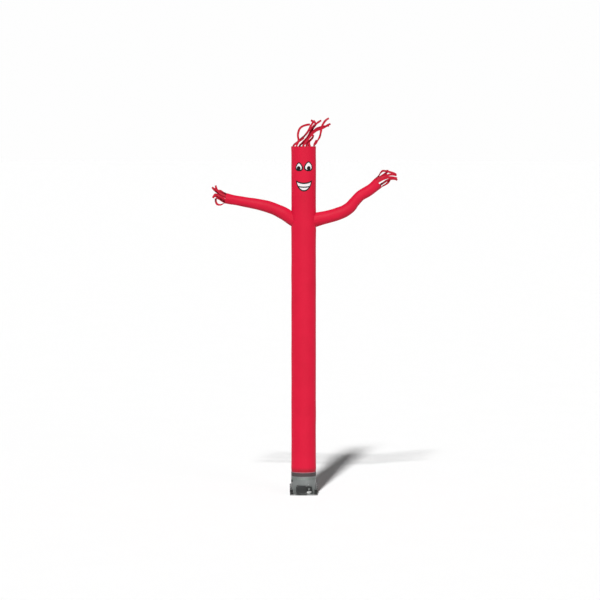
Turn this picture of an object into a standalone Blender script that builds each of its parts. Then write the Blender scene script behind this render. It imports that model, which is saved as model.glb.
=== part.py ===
"""Inflatable air dancer on its blower base.

A tall cloth tube stands over the outlet collar of a plain round blower. Two tapered sleeves
are its arms, combs of cloth strips are its hair and hands, and sewn patches are its face.
Metres, +Z up. The origin is on the ground under the middle of the blower, the face looks
along -Y, and +X is on the right as the face is seen.
"""

from math import ceil, cos, pi, radians, sin, tau
from typing import NamedTuple

import bmesh
import bpy
import numpy as np
from mathutils import Matrix, Quaternion, Vector

# ---------------------------------------------------------------- driving dimensions
GAP = 0.00035  # clearance between pieces that touch
CLOTH = 0.002  # wall of the inflated cloth
PATCH = 0.001  # wall of a sewn-on patch
PATCH_GAP = 0.00045  # under a patch, whose facets cross those beneath it

TUBE_RADIUS = 0.2286  # half of an 18 inch tube
TUBE_SIDES = 64
TUBE_FOOT = 0.350
TUBE_TOP = 6.475

SLEEVE_SIDES = 32
SLEEVE_STEP = 0.112  # distance between the rings of a sleeve
HOLE_BACK, HOLE_REACH = 0.050, 0.300  # where the hole for a sleeve starts, and its depth
SLEEVES_LOW, SLEEVES_HIGH = 4.5, 5.8  # heights that hold both sleeves' roots

STRIP_WIDTH = 0.040
STRIP_STEP = 0.042  # distance between the stations of a strip
STRIP_ROOT = 0.020  # first step, where a strip turns away from its band
BAND_HEIGHT = 0.045  # sewn band that carries the strips

DRUM_RADIUS = 0.2315
DRUM_WALL = 0.003
SHOULDER = 0.345  # height where the drum draws in to its collar
SHOULDER_OUT, SHOULDER_IN = 0.004, 0.009  # drop of the shoulder's outer and inner corner
COLLAR_TOP = 0.442

PLATE_HALF_WIDTH = 0.2555
PLATE_HALF_DEPTH = 0.240
PLATE_THICK = 0.018
PLATE_CORNER = 0.030

STRAP_LOW, STRAP_HIGH = 0.348, 0.426
STRAP_THICK = 0.002
STRAP_OVERLAP = radians(24)
STRAP_RISE = (3, 1)  # sides before its start where the lap begins to rise, and is up

TUBE_BORE = TUBE_RADIUS - CLOTH


class Section(NamedTuple):
    """One ring of a sleeve: its centre, out from the tube's axis and up, and its width."""

    out: float
    height: float
    width: float


class Strip(NamedTuple):
    """One strip of a fringe.

    seat is the angle round the band in degrees. headings are the directions, in degrees up
    from +X, that it takes in turn along its length. lean is how far it turns towards +Y at
    its start and its end, in degrees, and twist is its turn about its own length.
    """

    seat: float
    length: float
    headings: tuple
    lean: tuple
    twist: float


# The first row of a sleeve lies inside the tube, so the sleeve can be cut to the tube's side.
LEFT_SLEEVE = (
    Section(out=-0.130, height=5.082, width=0.252),
    Section(out=-0.220, height=5.136, width=0.243),
    Section(out=-0.384, height=5.239, width=0.237),
    Section(out=-0.532, height=5.311, width=0.222),
    Section(out=-0.694, height=5.366, width=0.217),
    Section(out=-0.845, height=5.402, width=0.206),
    Section(out=-1.025, height=5.435, width=0.192),
    Section(out=-1.215, height=5.469, width=0.178),
    Section(out=-1.350, height=5.492, width=0.184),
    Section(out=-1.450, height=5.512, width=0.198),
)
RIGHT_SLEEVE = (
    Section(out=0.120, height=5.093, width=0.280),
    Section(out=0.218, height=5.117, width=0.267),
    Section(out=0.324, height=5.142, width=0.250),
    Section(out=0.493, height=5.182, width=0.236),
    Section(out=0.638, height=5.227, width=0.235),
    Section(out=0.774, height=5.287, width=0.228),
    Section(out=0.865, height=5.355, width=0.219),
    Section(out=0.936, height=5.440, width=0.200),
    Section(out=1.054, height=5.562, width=0.201),
    Section(out=1.172, height=5.635, width=0.203),
    Section(out=1.276, height=5.705, width=0.199),
    Section(out=1.3865, height=5.802, width=0.211),
)

HAIR = (
    Strip(seat=-125, length=0.56, headings=(60, 66, 106, 84, 68, 32, 12, 8), lean=(8, 4), twist=60),
    Strip(seat=156, length=0.64, headings=(44, 42, 36, 42, 54, 66, 58, 38), lean=(0, -4), twist=-90),
    Strip(seat=110, length=0.63, headings=(43, 45, 47, 51, 61, 73, 55, 45, 150, 158), lean=(-6, 0), twist=-40),
    Strip(seat=90, length=0.60, headings=(58, 57, 60, 66, 58, 42, 28), lean=(2, 0), twist=-30),
    Strip(seat=-33, length=0.61, headings=(58, 56, 62, 78, 82, 64, 50, 22), lean=(4, 6), twist=-80),
    Strip(seat=-93, length=0.68, headings=(62, 54, 50, 52, 40, 20, 22, 36, 18), lean=(0, 4), twist=30),
    Strip(seat=63, length=0.64, headings=(110, 96, 58, 52, 40, 16, 10, 8), lean=(-18, -6), twist=30),
    Strip(seat=-59, length=0.25, headings=(117, 102, 42, 56, 92), lean=(16, 14), twist=-40),
    Strip(seat=77, length=0.33, headings=(98, 84, 50, 58, 64), lean=(24, 16), twist=50),
    Strip(seat=-150, length=0.26, headings=(48, 40, 32, 50), lean=(-2, 4), twist=90),
    Strip(seat=30, length=0.13, headings=(80, 66, 60, 58), lean=(6, 8), twist=90),
)
LEFT_HAND = (
    Strip(seat=90, length=0.19, headings=(160, 162, 146, 175, 230), lean=(0, 4), twist=110),
    Strip(seat=38, length=0.29, headings=(160, 156, 140, 112, 104), lean=(2, 0), twist=-60),
    Strip(seat=164, length=0.32, headings=(152, 150, 146, 138, 120), lean=(0, -6), twist=30),
    Strip(seat=-10, length=0.29, headings=(144, 146, 149, 148, 170, 250, 240), lean=(4, 4), twist=20),
    Strip(seat=-150, length=0.23, headings=(143, 144, 156, 190), lean=(2, 0), twist=-60),
    Strip(seat=-90, length=0.26, headings=(232, 198, 180, 128, 95, 92), lean=(-4, 6), twist=-110),
    Strip(seat=123, length=0.26, headings=(162, 162, 154, 122), lean=(-4, -8), twist=80),
    Strip(seat=-128, length=0.19, headings=(132, 146, 160), lean=(-6, -10), twist=-80),
)
RIGHT_HAND = (
    Strip(seat=90, length=0.47, headings=(24, 34, 62, 50, -8, -12, -16, -20, -24), lean=(-2, 2), twist=-110),
    Strip(seat=125, length=0.30, headings=(24, 26, 28, 32, 40, 100), lean=(4, -4), twist=-80),
    Strip(seat=35, length=0.40, headings=(28, 26, 23, 18, -2, -24), lean=(0, -2), twist=50),
    Strip(seat=166, length=0.40, headings=(30, 28, 18, 2, -26, -28), lean=(4, 6), twist=-30),
    Strip(seat=0, length=0.38, headings=(31, 26, 16, -8, -14), lean=(2, -4), twist=30),
    Strip(seat=-90, length=0.21, headings=(38, 30, 34, 56, 64), lean=(-4, 4), twist=-110),
    Strip(seat=-130, length=0.30, headings=(36, 34, 22, -18), lean=(-8, -6), twist=50),
    Strip(seat=57, length=0.24, headings=(22, 24, 22, 30), lean=(8, 10), twist=90),
)

# ---------------------------------------------------------------- materials


def material(name, colour, roughness=0.6, metallic=0.0):
    """A Principled material of one colour, given as linear RGB."""
    made = bpy.data.materials.new(name)
    made.use_nodes = True
    shader = made.node_tree.nodes["Principled BSDF"]
    shader.inputs["Base Color"].default_value = (*colour, 1.0)
    shader.inputs["Roughness"].default_value = roughness
    shader.inputs["Metallic"].default_value = metallic
    made.diffuse_color = (*colour, 1.0)
    return made


class Finish:
    """The materials, made once and shared by the pieces."""

    def __init__(self):
        self.shell = material("red nylon", (0.76, 0.019, 0.054), 0.55)
        self.strip = material("red nylon strips", (0.60, 0.014, 0.040), 0.55)
        self.white = material("white nylon", (0.90, 0.86, 0.86), 0.6)
        self.black = material("black nylon", (0.012, 0.009, 0.010), 0.6)
        self.strap = material("dark strap", (0.065, 0.050, 0.052), 0.85)
        self.drum = material("grey paint", (0.28, 0.30, 0.29), 0.5)
        self.plate = material("grey base paint", (0.16, 0.16, 0.16), 0.55)
        self.dark = material("dark plastic", (0.030, 0.031, 0.031), 0.6)
        self.box = material("box plastic", (0.055, 0.058, 0.058), 0.55)
        self.rubber = material("rubber", (0.020, 0.021, 0.021), 0.8)
        self.plaque = material("white plastic", (0.62, 0.63, 0.62), 0.4)


# ---------------------------------------------------------------- mesh helpers


def place(name, bm, finish, sharp=40):
    """Turn a bmesh into a named object with its normals out and its round sides smooth."""
    bmesh.ops.recalc_face_normals(bm, faces=bm.faces)
    mesh = bpy.data.meshes.new(name)
    bm.to_mesh(mesh)
    bm.free()
    mesh.materials.append(finish)
    mesh.shade_smooth()
    mesh.set_sharp_from_angle(angle=radians(sharp))
    made = bpy.data.objects.new(name, mesh)
    bpy.context.collection.objects.link(made)
    return made


def circle(centre, across, up, radius, sides):
    """Points of a circle in the plane of two unit vectors."""
    turn = [tau * i / sides for i in range(sides)]
    return [centre + radius * (cos(a) * across + sin(a) * up) for a in turn]


def loft(bm, loops, skipped=()):
    """Join loops of points into a closed ring-shaped skin, the last loop back to the first.

    skipped holds (loop, side) pairs whose face is left open. Returns the rows of vertices.
    """
    rows = [[bm.verts.new(point) for point in loop] for loop in loops]
    for i, row in enumerate(rows):
        after = rows[(i + 1) % len(rows)]
        for j in range(len(row)):
            if (i, j) not in skipped:
                k = (j + 1) % len(row)
                bm.faces.new((row[j], row[k], after[k], after[j]))
    return rows


def turned(bm, profile, sides=TUBE_SIDES):
    """Revolve a closed profile of (radius, height) points about the Z axis."""
    across, up = Vector((1, 0, 0)), Vector((0, 1, 0))
    loops = [circle(Vector((0, 0, z)), across, up, r, sides) for r, z in profile]
    loft(bm, loops)


def extruded(bm, outline, along):
    """Close a prism between a flat outline and its copy moved by a vector."""
    near = [bm.verts.new(point) for point in outline]
    far = [bm.verts.new(point + along) for point in outline]
    bm.faces.new(near)
    bm.faces.new(reversed(far))
    for i in range(len(near)):
        j = (i + 1) % len(near)
        bm.faces.new((near[i], far[i], far[j], near[j]))


def round_corner(centre, radius, start, steps=5):
    """Points of a quarter arc in two dimensions, from a start angle in degrees."""
    turn = [radians(start + 90 * i / steps) for i in range(steps + 1)]
    return [(centre[0] + radius * cos(a), centre[1] + radius * sin(a)) for a in turn]


def round_rectangle(half_width, low, high, radii, middle=0.0):
    """Outline whose corner radii run bottom left, bottom right, top right, top left."""
    corners = ((-1, low, 1), (1, low, 1), (1, high, -1), (-1, high, -1))
    points = []
    for (side, edge, inward), radius, start in zip(corners, radii, (180, 270, 0, 90)):
        centre = (middle + side * (half_width - radius), edge + inward * radius)
        points += round_corner(centre, radius, start)
    return points


def cutter(name, bm):
    """A hidden object that only cuts others."""
    bmesh.ops.recalc_face_normals(bm, faces=bm.faces)
    mesh = bpy.data.meshes.new(name)
    bm.to_mesh(mesh)
    bm.free()
    made = bpy.data.objects.new(name, mesh)
    bpy.context.collection.objects.link(made)
    made.hide_render = True
    made.display_type = "WIRE"
    return made


def cut(target, tool):
    """Cut a target with a tool by an exact Boolean that stays live."""
    step = target.modifiers.new(tool.name, "BOOLEAN")
    step.operation = "DIFFERENCE"
    step.solver = "EXACT"
    step.object = tool


def pillar(name, radius, low, high):
    """An upright round cutter on the axis, with the tube's own sides."""
    bm = bmesh.new()
    across, up = Vector((1, 0, 0)), Vector((0, 1, 0))
    outline = circle(Vector((0, 0, low)), across, up, radius, TUBE_SIDES)
    extruded(bm, outline, Vector((0, 0, high - low)))
    return cutter(name, bm)


# ---------------------------------------------------------------- curves


def smooth_rows(rows, step):
    """Rows of numbers read off a smooth curve through the given rows, a step apart."""
    knots = np.array([tuple(row) for row in rows], float)
    chords = np.linalg.norm(np.diff(knots[:, :2], axis=0), axis=1)
    places = np.concatenate(([0.0], np.cumsum(chords)))
    slopes = np.gradient(knots, places, axis=0)
    count = ceil(places[-1] / step)
    made = []
    for at in np.linspace(0.0, places[-1], count + 1):
        i = min(np.searchsorted(places, at, side="right"), len(places) - 1) - 1
        span = places[i + 1] - places[i]
        t = (at - places[i]) / span
        start, end = knots[i], knots[i + 1]
        rise, fall = slopes[i] * span, slopes[i + 1] * span
        row = (2 * t**3 - 3 * t**2 + 1) * start + (t**3 - 2 * t**2 + t) * rise
        row += (3 * t**2 - 2 * t**3) * end + (t**3 - t**2) * fall
        made.append([float(number) for number in row])
    return made


def sleeve_frames(rows):
    """Centre, direction and radius of each ring of a sleeve."""
    smooth = smooth_rows(rows, SLEEVE_STEP)
    centres = [Vector((out, 0.0, height)) for out, height, _ in smooth]
    frames = []
    for i, (_, _, width) in enumerate(smooth):
        before, after = centres[max(i - 1, 0)], centres[min(i + 1, len(centres) - 1)]
        frames.append((centres[i], (after - before).normalized(), width / 2))
    return frames


def strip_stations(strip, start, axis):
    """Points and directions along a strip that leaves its band along the band's axis."""
    count = max(4, ceil(strip.length / STRIP_STEP))
    places = np.linspace(STRIP_ROOT, strip.length, count + 1).tolist()
    marks = np.linspace(0.0, strip.length, len(strip.headings))
    point, reached, stations = start.copy(), 0.0, []
    for place_on in places:
        middle = (place_on + reached) / 2
        heading = radians(np.interp(middle, marks, strip.headings))
        lean = radians(np.interp(middle, (0.0, strip.length), strip.lean))
        along = Vector((cos(heading) * cos(lean), sin(lean), sin(heading) * cos(lean)))
        if place_on == STRIP_ROOT:
            along = (along + axis).normalized()
        point = point + (place_on - reached) * along
        stations.append((point.copy(), along))
        reached = place_on
    return stations


# ---------------------------------------------------------------- cloth


def body_tube(finish):
    """The standing tube, open at its foot and its top."""
    bm = bmesh.new()
    profile = (
        (TUBE_RADIUS, TUBE_FOOT),
        (TUBE_RADIUS, TUBE_TOP),
        (TUBE_BORE, TUBE_TOP),
        (TUBE_BORE, TUBE_FOOT),
    )
    turned(bm, profile)
    return place("body_tube", bm, finish.shell)


def sleeve(name, rows, finish):
    """A tapered sleeve with an open cuff, cut to the side of the tube."""
    across = Vector((0, 1, 0))
    outer, inner = [], []
    for centre, along, radius in sleeve_frames(rows):
        up = along.cross(across)
        outer.append(circle(centre, across, up, radius, SLEEVE_SIDES))
        inner.append(circle(centre, across, up, radius - CLOTH, SLEEVE_SIDES))
    bm = bmesh.new()
    loft(bm, outer + inner[::-1])
    return place(name, bm, finish.shell)


def sleeve_hole(name, rows):
    """The cutter for the hole where the air passes from the tube into a sleeve."""
    across = Vector((0, 1, 0))
    centre, along, radius = sleeve_frames(rows)[1]
    start = centre - HOLE_BACK * along
    bm = bmesh.new()
    outline = circle(start, across, along.cross(across), radius - CLOTH, SLEEVE_SIDES)
    extruded(bm, outline, HOLE_REACH * along)
    return cutter(name, bm)


def comb(name, strips, low, rim, axis, seat_axes, finish):
    """A fringe: a band inside an open end, with strips that grow from its rim.

    low and rim are the loops of points round the band's outside, and axis is the direction
    out of the open end. seat_axes are the directions of a seat at 0 and at 90 degrees.
    """
    bm = bmesh.new()
    seats = {}
    for strip in strips:
        angle = radians(strip.seat)
        seats[facing_side(rim, cos(angle) * seat_axes[0] + sin(angle) * seat_axes[1])] = strip
    loops = [low, rim, shrunk(rim, CLOTH), shrunk(low, CLOTH)]
    rows = loft(bm, loops, skipped={(1, seat) for seat in seats})
    for seat, strip in seats.items():
        after = (seat + 1) % len(rim)
        corners = (rows[1][seat], rows[1][after], rows[2][after], rows[2][seat])
        grow_strip(bm, corners, strip, axis)
    return place(name, bm, finish)


def shrunk(loop, distance):
    """A loop of points moved in towards its middle."""
    middle = sum(loop, Vector()) / len(loop)
    return [point + distance * (middle - point).normalized() for point in loop]


def facing_side(loop, direction):
    """The side of a loop whose middle lies furthest along a direction."""
    ends = zip(loop, loop[1:] + loop[:1])
    reaches = [(here + after).dot(direction) for here, after in ends]
    return reaches.index(max(reaches))


def cuff_loops(rows):
    """The band's loops inside a cuff, on every second corner of the sleeve's own rings."""
    across = Vector((0, 1, 0))
    (back, back_way, back_radius), (end, end_way, end_radius) = sleeve_frames(rows)[-2:]
    sides = SLEEVE_SIDES // 2
    far = circle(end, across, end_way.cross(across), end_radius - CLOTH - GAP, sides)
    near = circle(back, across, back_way.cross(across), back_radius - CLOTH - GAP, sides)
    share = BAND_HEIGHT / (end - back).length
    return [f.lerp(n, share) for f, n in zip(far, near)], far


def grow_strip(bm, rim, strip, axis):
    """Extend four vertices of a band's rim into a strip, and close its end."""
    start = sum((corner.co for corner in rim), Vector()) / 4
    wide = (rim[1].co - rim[0].co).normalized()
    thick = (rim[0].co - rim[3].co).normalized()
    direction, last = axis, rim
    stations = strip_stations(strip, start, axis)
    for i, (point, along) in enumerate(stations):
        turn = direction.rotation_difference(along)
        roll = Quaternion(along, radians(strip.twist / len(stations)))
        wide = (roll @ turn @ wide).normalized()
        thick = (roll @ turn @ thick).normalized()
        half_wide, half_thick = wide * STRIP_WIDTH / 2, thick * CLOTH / 2
        corners = (
            point - half_wide + half_thick,
            point + half_wide + half_thick,
            point + half_wide - half_thick,
            point - half_wide - half_thick,
        )
        ring = [bm.verts.new(corner) for corner in corners]
        for j in range(4):
            k = (j + 1) % 4
            bm.faces.new((last[j], last[k], ring[k], ring[j]))
        direction, last = along, ring
    bm.faces.new(last)


# ---------------------------------------------------------------- the face

FACE_STEP = TUBE_RADIUS * tau / 96  # a patch bends once in each step round the tube
EYE_RIM = 0.024  # dark border that shows round the white
EGG = 0.38  # how much an eye narrows towards its top
PUPIL_HALF_WIDTH, PUPIL_HALF_HEIGHT = 0.037, 0.042

GRIN_MIDDLE = 0.006  # round the tube from the front
GRIN_HALF_WIDTH = 0.158
GRIN_CORNER = 5.852  # height of the corners of the grin
GRIN_UPPER_LIP = 5.784  # height of the middle of the upper teeth's top edge
GRIN_BITE = 5.726  # height of the middle of the line between the teeth
GRIN_LOWER_LIP = 5.672
GRIN_RIM = 0.026
BITE_HALF = 0.0115  # half of the dark line between the teeth
BITE_FLAT = 0.80  # how much flatter that line is than the lips
LIP_FULL = 0.62  # fullness of the lower lip's curve, less is fuller
TEETH_IN = 1.15  # how much sooner than the lip the teeth's lower edge rises
TEETH_DROP = 0.022  # how much lower than the lips the corners of the upper teeth are
TEETH_LEAST = 0.003  # the teeth end where they are this thin
PATCH_SIDES, PUPIL_SIDES = 32, 24


class Eye(NamedTuple):
    """One eye: its middle round the tube from the front, its height and its pupil's."""

    middle: float
    height: float
    half_width: float
    half_height: float
    pupil_middle: float
    pupil_height: float


EYES = {
    "left": Eye(-0.088, 6.1035, 0.0485, 0.0595, -0.095, 6.074),
    "right": Eye(0.0925, 6.112, 0.060, 0.068, 0.0965, 6.074),
}


def oval(middle, height, half_width, half_height, egg=0.0, sides=PATCH_SIDES):
    """Outline of an oval in distances round the tube and up, narrower to its top by egg."""
    points = []
    for i in range(sides):
        angle = tau * i / sides
        across = half_width * cos(angle) * (1 - egg * sin(angle))
        points.append((middle + across, height + half_height * sin(angle)))
    return points


def lip(middle_height, share):
    """Height of a curve from corner to corner of the grin, at a share of its half width."""
    return middle_height + (GRIN_CORNER - middle_height) * share**2


def lower_lip(middle_height, share):
    """Height of the deep lower edge of the grin."""
    return GRIN_CORNER - (GRIN_CORNER - middle_height) * (1 - share**2) ** LIP_FULL


def between(upper, lower, half_width, steps=20):
    """Outline between two curves, each a function of the share of the grin's half width."""
    shares = [half_width / GRIN_HALF_WIDTH * (2 * i / steps - 1) for i in range(steps + 1)]
    top = [(GRIN_MIDDLE + GRIN_HALF_WIDTH * share, upper(share)) for share in shares]
    bottom = [(GRIN_MIDDLE + GRIN_HALF_WIDTH * share, lower(share)) for share in shares[::-1]]
    return top + bottom


def crossing(upper, lower):
    """Largest share of the half width where one curve is still above the other."""
    shares = np.linspace(0.0, 1.0, 400)
    clear = [share for share in shares if upper(share) - lower(share) > TEETH_LEAST]
    return max(clear) * GRIN_HALF_WIDTH


def patch(name, outline, layer, finish, radius=TUBE_RADIUS):
    """A flat outline wrapped round an upright cylinder as one thin patch.

    layer counts the patches from the cylinder out, each clear of the one under it.
    """
    bm = bmesh.new()
    bm.faces.new([bm.verts.new((round_way, 0.0, height)) for round_way, height in outline])
    ends = [round_way for round_way, _ in outline]
    for i in range(ceil(min(ends) / FACE_STEP), ceil(max(ends) / FACE_STEP)):
        parts = bm.verts[:] + bm.edges[:] + bm.faces[:]
        spot = (i * FACE_STEP, 0, 0)
        bmesh.ops.bisect_plane(bm, geom=parts, dist=1e-5, plane_co=spot, plane_no=(1, 0, 0))
    bmesh.ops.remove_doubles(bm, verts=bm.verts, dist=0.0001)
    grown = bmesh.ops.extrude_face_region(bm, geom=bm.faces[:])
    for part in grown["geom"]:
        if isinstance(part, bmesh.types.BMVert):
            part.co.y = -PATCH
    inside = radius + PATCH_GAP + layer * (PATCH + PATCH_GAP)
    for vert in bm.verts:
        angle, reach = vert.co.x / radius, inside - vert.co.y
        vert.co = (reach * sin(angle), -reach * cos(angle), vert.co.z)
    return place(name, bm, finish, sharp=50)


def eye(hand, row, finish):
    """An eye of three patches: dark backing, white and pupil."""
    wide, tall = row.half_width, row.half_height
    backing = oval(row.middle, row.height, wide + EYE_RIM, tall + EYE_RIM, EGG)
    white = oval(row.middle, row.height, wide, tall, EGG)
    pupil = oval(row.pupil_middle, row.pupil_height, PUPIL_HALF_WIDTH, PUPIL_HALF_HEIGHT, 0, PUPIL_SIDES)
    patch(f"eye_backing_{hand}", backing, 0, finish.black)
    patch(f"eye_white_{hand}", white, 1, finish.white)
    patch(f"pupil_{hand}", pupil, 2, finish.black)


def grin(finish):
    """The mouth: a dark backing with an upper and a lower row of teeth."""

    def backing_top(share):
        return lip(GRIN_UPPER_LIP + GRIN_RIM, share)

    def backing_bottom(share):
        return lower_lip(GRIN_LOWER_LIP - GRIN_RIM, share)

    def teeth_top(share):
        return lip(GRIN_UPPER_LIP, share) - TEETH_DROP * share**2 - PATCH

    def bite(share):
        return lip(GRIN_BITE, share) - BITE_FLAT * (GRIN_CORNER - GRIN_BITE) * share**2

    def teeth_bottom(share):
        return lower_lip(GRIN_LOWER_LIP, min(1.0, abs(share) * TEETH_IN))

    def upper_low(share):
        return max(bite(share) + BITE_HALF, teeth_bottom(share))

    def lower_high(share):
        return bite(share) - BITE_HALF

    backing = between(backing_top, backing_bottom, GRIN_HALF_WIDTH - GAP)
    patch("mouth_backing", backing, 0, finish.black)
    upper_half = crossing(teeth_top, upper_low)
    patch("teeth_upper", between(teeth_top, upper_low, upper_half), 1, finish.white)
    lower_half = crossing(lower_high, teeth_bottom)
    patch("teeth_lower", between(lower_high, teeth_bottom, lower_half), 1, finish.white)


def base_strap(finish):
    """A band round the tube's foot whose end laps over its own start at the back."""
    bm = bmesh.new()
    inside = TUBE_RADIUS + GAP
    lift = STRAP_THICK + GAP
    step = tau / TUBE_SIDES
    count = ceil((tau + STRAP_OVERLAP) / step)
    rise_from, rise_to = (TUBE_SIDES - sides for sides in STRAP_RISE)
    rings = []
    for i in range(count + 1):
        angle = pi / 2 + i * step
        foot = inside + lift * float(np.interp(i, (rise_from, rise_to), (0.0, 1.0)))
        corners = [(foot, STRAP_LOW), (foot, STRAP_HIGH)]
        corners += [(foot + STRAP_THICK, STRAP_HIGH), (foot + STRAP_THICK, STRAP_LOW)]
        rings.append([bm.verts.new((r * cos(angle), r * sin(angle), z)) for r, z in corners])
    for ring, after in zip(rings, rings[1:]):
        for j in range(4):
            k = (j + 1) % 4
            bm.faces.new((ring[j], ring[k], after[k], after[j]))
    bm.faces.new(rings[0])
    bm.faces.new(reversed(rings[-1]))
    return place("base_strap", bm, finish.strap)


# ---------------------------------------------------------------- blower

BEAD_HEIGHTS = (0.060, 0.298)  # rolled stiffening beads round the drum
BEAD_OUT, BEAD_HALF = 0.003, 0.010
SLOT_COLUMNS, SLOT_ROWS = 3, 7  # air slots in the drum's back
SLOT_WIDTH, SLOT_HEIGHT, SLOT_PITCH, SLOT_LOWEST = 0.070, 0.010, 0.024, 0.090
SLOT_TURN = radians(22)  # between the columns of slots
SLOT_DEPTH = 0.040  # of the cutter, well over the wall's

BOX_LEFT, BOX_RIGHT, BOX_LOW, BOX_HIGH = -0.140, 0.056, 0.041, 0.183
BOX_FRONT = -0.290
BOX_CORNERS = (0.012, 0.012, 0.022, 0.022)  # corner radii from bottom left round to top left
SMALL_LEFT, SMALL_RIGHT, SMALL_LOW, SMALL_HIGH = BOX_RIGHT + GAP, 0.154, 0.086, 0.172
SMALL_FRONT = -0.262
SMALL_CORNERS = (0.006, 0.006, 0.010, 0.010)
BOX_BACK = -0.130  # how far back the boxes reach before the drum cuts them

INLET_X, INLET_Z, INLET_RADIUS, INLET_SIDES = 0.099, 0.123, 0.022, 32
INLET_RIM = ((0.0, 0.0), (0.0, 0.012), (0.005, 0.012), (0.006, 0.007))  # (inwards, out)

PLAQUE_MIDDLE, PLAQUE_HEIGHT = 0.108, 0.060
PLAQUE_HALF_WIDTH, PLAQUE_HALF_HEIGHT = 0.049, 0.022

BLOCK_IN, BLOCK_OUT, BLOCK_NEAR, BLOCK_FAR, BLOCK_HIGH = 0.200, 0.254, 0.150, 0.232, 0.102
BLOCK_CORNER = 0.012
BRACKET_HALF_DEPTH, BRACKET_HIGH = 0.045, 0.195
BRACKET_CORNERS = (0.004, 0.004, 0.020, 0.020)
LUG_OUT, LUG_HALF_DEPTH, LUG_LOW, LUG_HIGH = 0.014, 0.016, 0.236, 0.280
LUG_CORNER = 0.006
LUG_ROOT = 0.020  # how far in it reaches before the drum cuts it
LUG_TURN = radians(22)  # round the drum from its left side towards the front

BESIDE_DRUM = DRUM_RADIUS + GAP  # clear of the drum's wall
BESIDE_BEADS = DRUM_RADIUS + BEAD_OUT + GAP  # clear of its beads too


def drum(finish):
    """The hollow drum with two rolled beads, drawn in at its top to the outlet collar."""
    collar = TUBE_BORE - GAP
    outer = [(DRUM_RADIUS, PLATE_THICK + GAP)]
    for height in BEAD_HEIGHTS:
        outer += [(DRUM_RADIUS, height - BEAD_HALF), (DRUM_RADIUS + BEAD_OUT, height)]
        outer += [(DRUM_RADIUS, height + BEAD_HALF)]
    outer += [(DRUM_RADIUS, SHOULDER - SHOULDER_OUT), (collar, SHOULDER), (collar, COLLAR_TOP)]
    inner = [(collar - DRUM_WALL, COLLAR_TOP), (collar - DRUM_WALL, SHOULDER - SHOULDER_OUT)]
    inner += [(DRUM_RADIUS - DRUM_WALL, SHOULDER - SHOULDER_IN)]
    inner += [(DRUM_RADIUS - DRUM_WALL, PLATE_THICK + GAP)]
    bm = bmesh.new()
    turned(bm, outer + inner)
    made = place("blower_drum", bm, finish.drum)
    cut(made, slot_cutter())
    return made


def slot_cutter():
    """All the air slots as one cutter."""
    bm = bmesh.new()
    for column in range(SLOT_COLUMNS):
        turn = (column - (SLOT_COLUMNS - 1) / 2) * SLOT_TURN
        spin = Matrix.Rotation(turn, 4, "Z")
        for row in range(SLOT_ROWS):
            height = SLOT_LOWEST + row * SLOT_PITCH
            spot = Matrix.Translation((0, DRUM_RADIUS, height))
            size = Matrix.Diagonal((SLOT_WIDTH, SLOT_DEPTH, SLOT_HEIGHT, 1))
            bmesh.ops.create_cube(bm, size=1.0, matrix=spin @ spot @ size)
    return cutter("slot_cutter", bm)


def base_plate(finish):
    """The flat plate that the whole thing stands on."""
    outline = round_rectangle(
        PLATE_HALF_WIDTH, -PLATE_HALF_DEPTH, PLATE_HALF_DEPTH, [PLATE_CORNER] * 4
    )
    bm = bmesh.new()
    extruded(bm, [Vector((x, y, 0)) for x, y in outline], Vector((0, 0, PLATE_THICK)))
    return place("base_plate", bm, finish.plate)


def corner_blocks(finish):
    """Four dark blocks on the corners of the plate."""
    radii = [BLOCK_CORNER] * 4
    half = (BLOCK_OUT - BLOCK_IN) / 2
    foot = PLATE_THICK + GAP
    rise = Vector((0, 0, BLOCK_HIGH - foot))
    for side, hand in ((-1, "left"), (1, "right")):
        for way, end in ((-1, "front"), (1, "back")):
            near, far = sorted((way * BLOCK_NEAR, way * BLOCK_FAR))
            outline = round_rectangle(half, near, far, radii, side * (BLOCK_IN + half))
            bm = bmesh.new()
            extruded(bm, [Vector((x, y, foot)) for x, y in outline], rise)
            place(f"corner_block_{end}_{hand}", bm, finish.rubber)


def side_bracket(name, side, finish):
    """An upright bracket between the plate and the drum's side."""
    foot = PLATE_THICK + GAP
    outline = round_rectangle(BRACKET_HALF_DEPTH, foot, BRACKET_HIGH, BRACKET_CORNERS)
    start = side * BESIDE_BEADS
    thick = side * (PLATE_HALF_WIDTH - BESIDE_BEADS)
    bm = bmesh.new()
    extruded(bm, [Vector((start, y, z)) for y, z in outline], Vector((thick, 0, 0)))
    return place(name, bm, finish.plate)


def side_lug(finish):
    """The dark lug on the drum's left side, backed by the drum."""
    outline = round_rectangle(LUG_HALF_DEPTH, LUG_LOW, LUG_HIGH, [LUG_CORNER] * 4)
    turn = Matrix.Rotation(LUG_TURN, 4, "Z")
    start = -(DRUM_RADIUS + LUG_OUT)
    bm = bmesh.new()
    points = [turn @ Vector((start, y, z)) for y, z in outline]
    extruded(bm, points, turn @ Vector((LUG_OUT + LUG_ROOT, 0, 0)))
    return place("side_lug", bm, finish.dark)


def front_box(name, sides, heights, front, radii, finish):
    """A box on the drum's front, between two sides and two heights, to be cut to the drum."""
    half = (sides[1] - sides[0]) / 2
    outline = round_rectangle(half, *heights, radii, sides[0] + half)
    bm = bmesh.new()
    depth = Vector((0, BOX_BACK - front, 0))
    extruded(bm, [Vector((x, front, z)) for x, z in outline], depth)
    return place(name, bm, finish)


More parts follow.
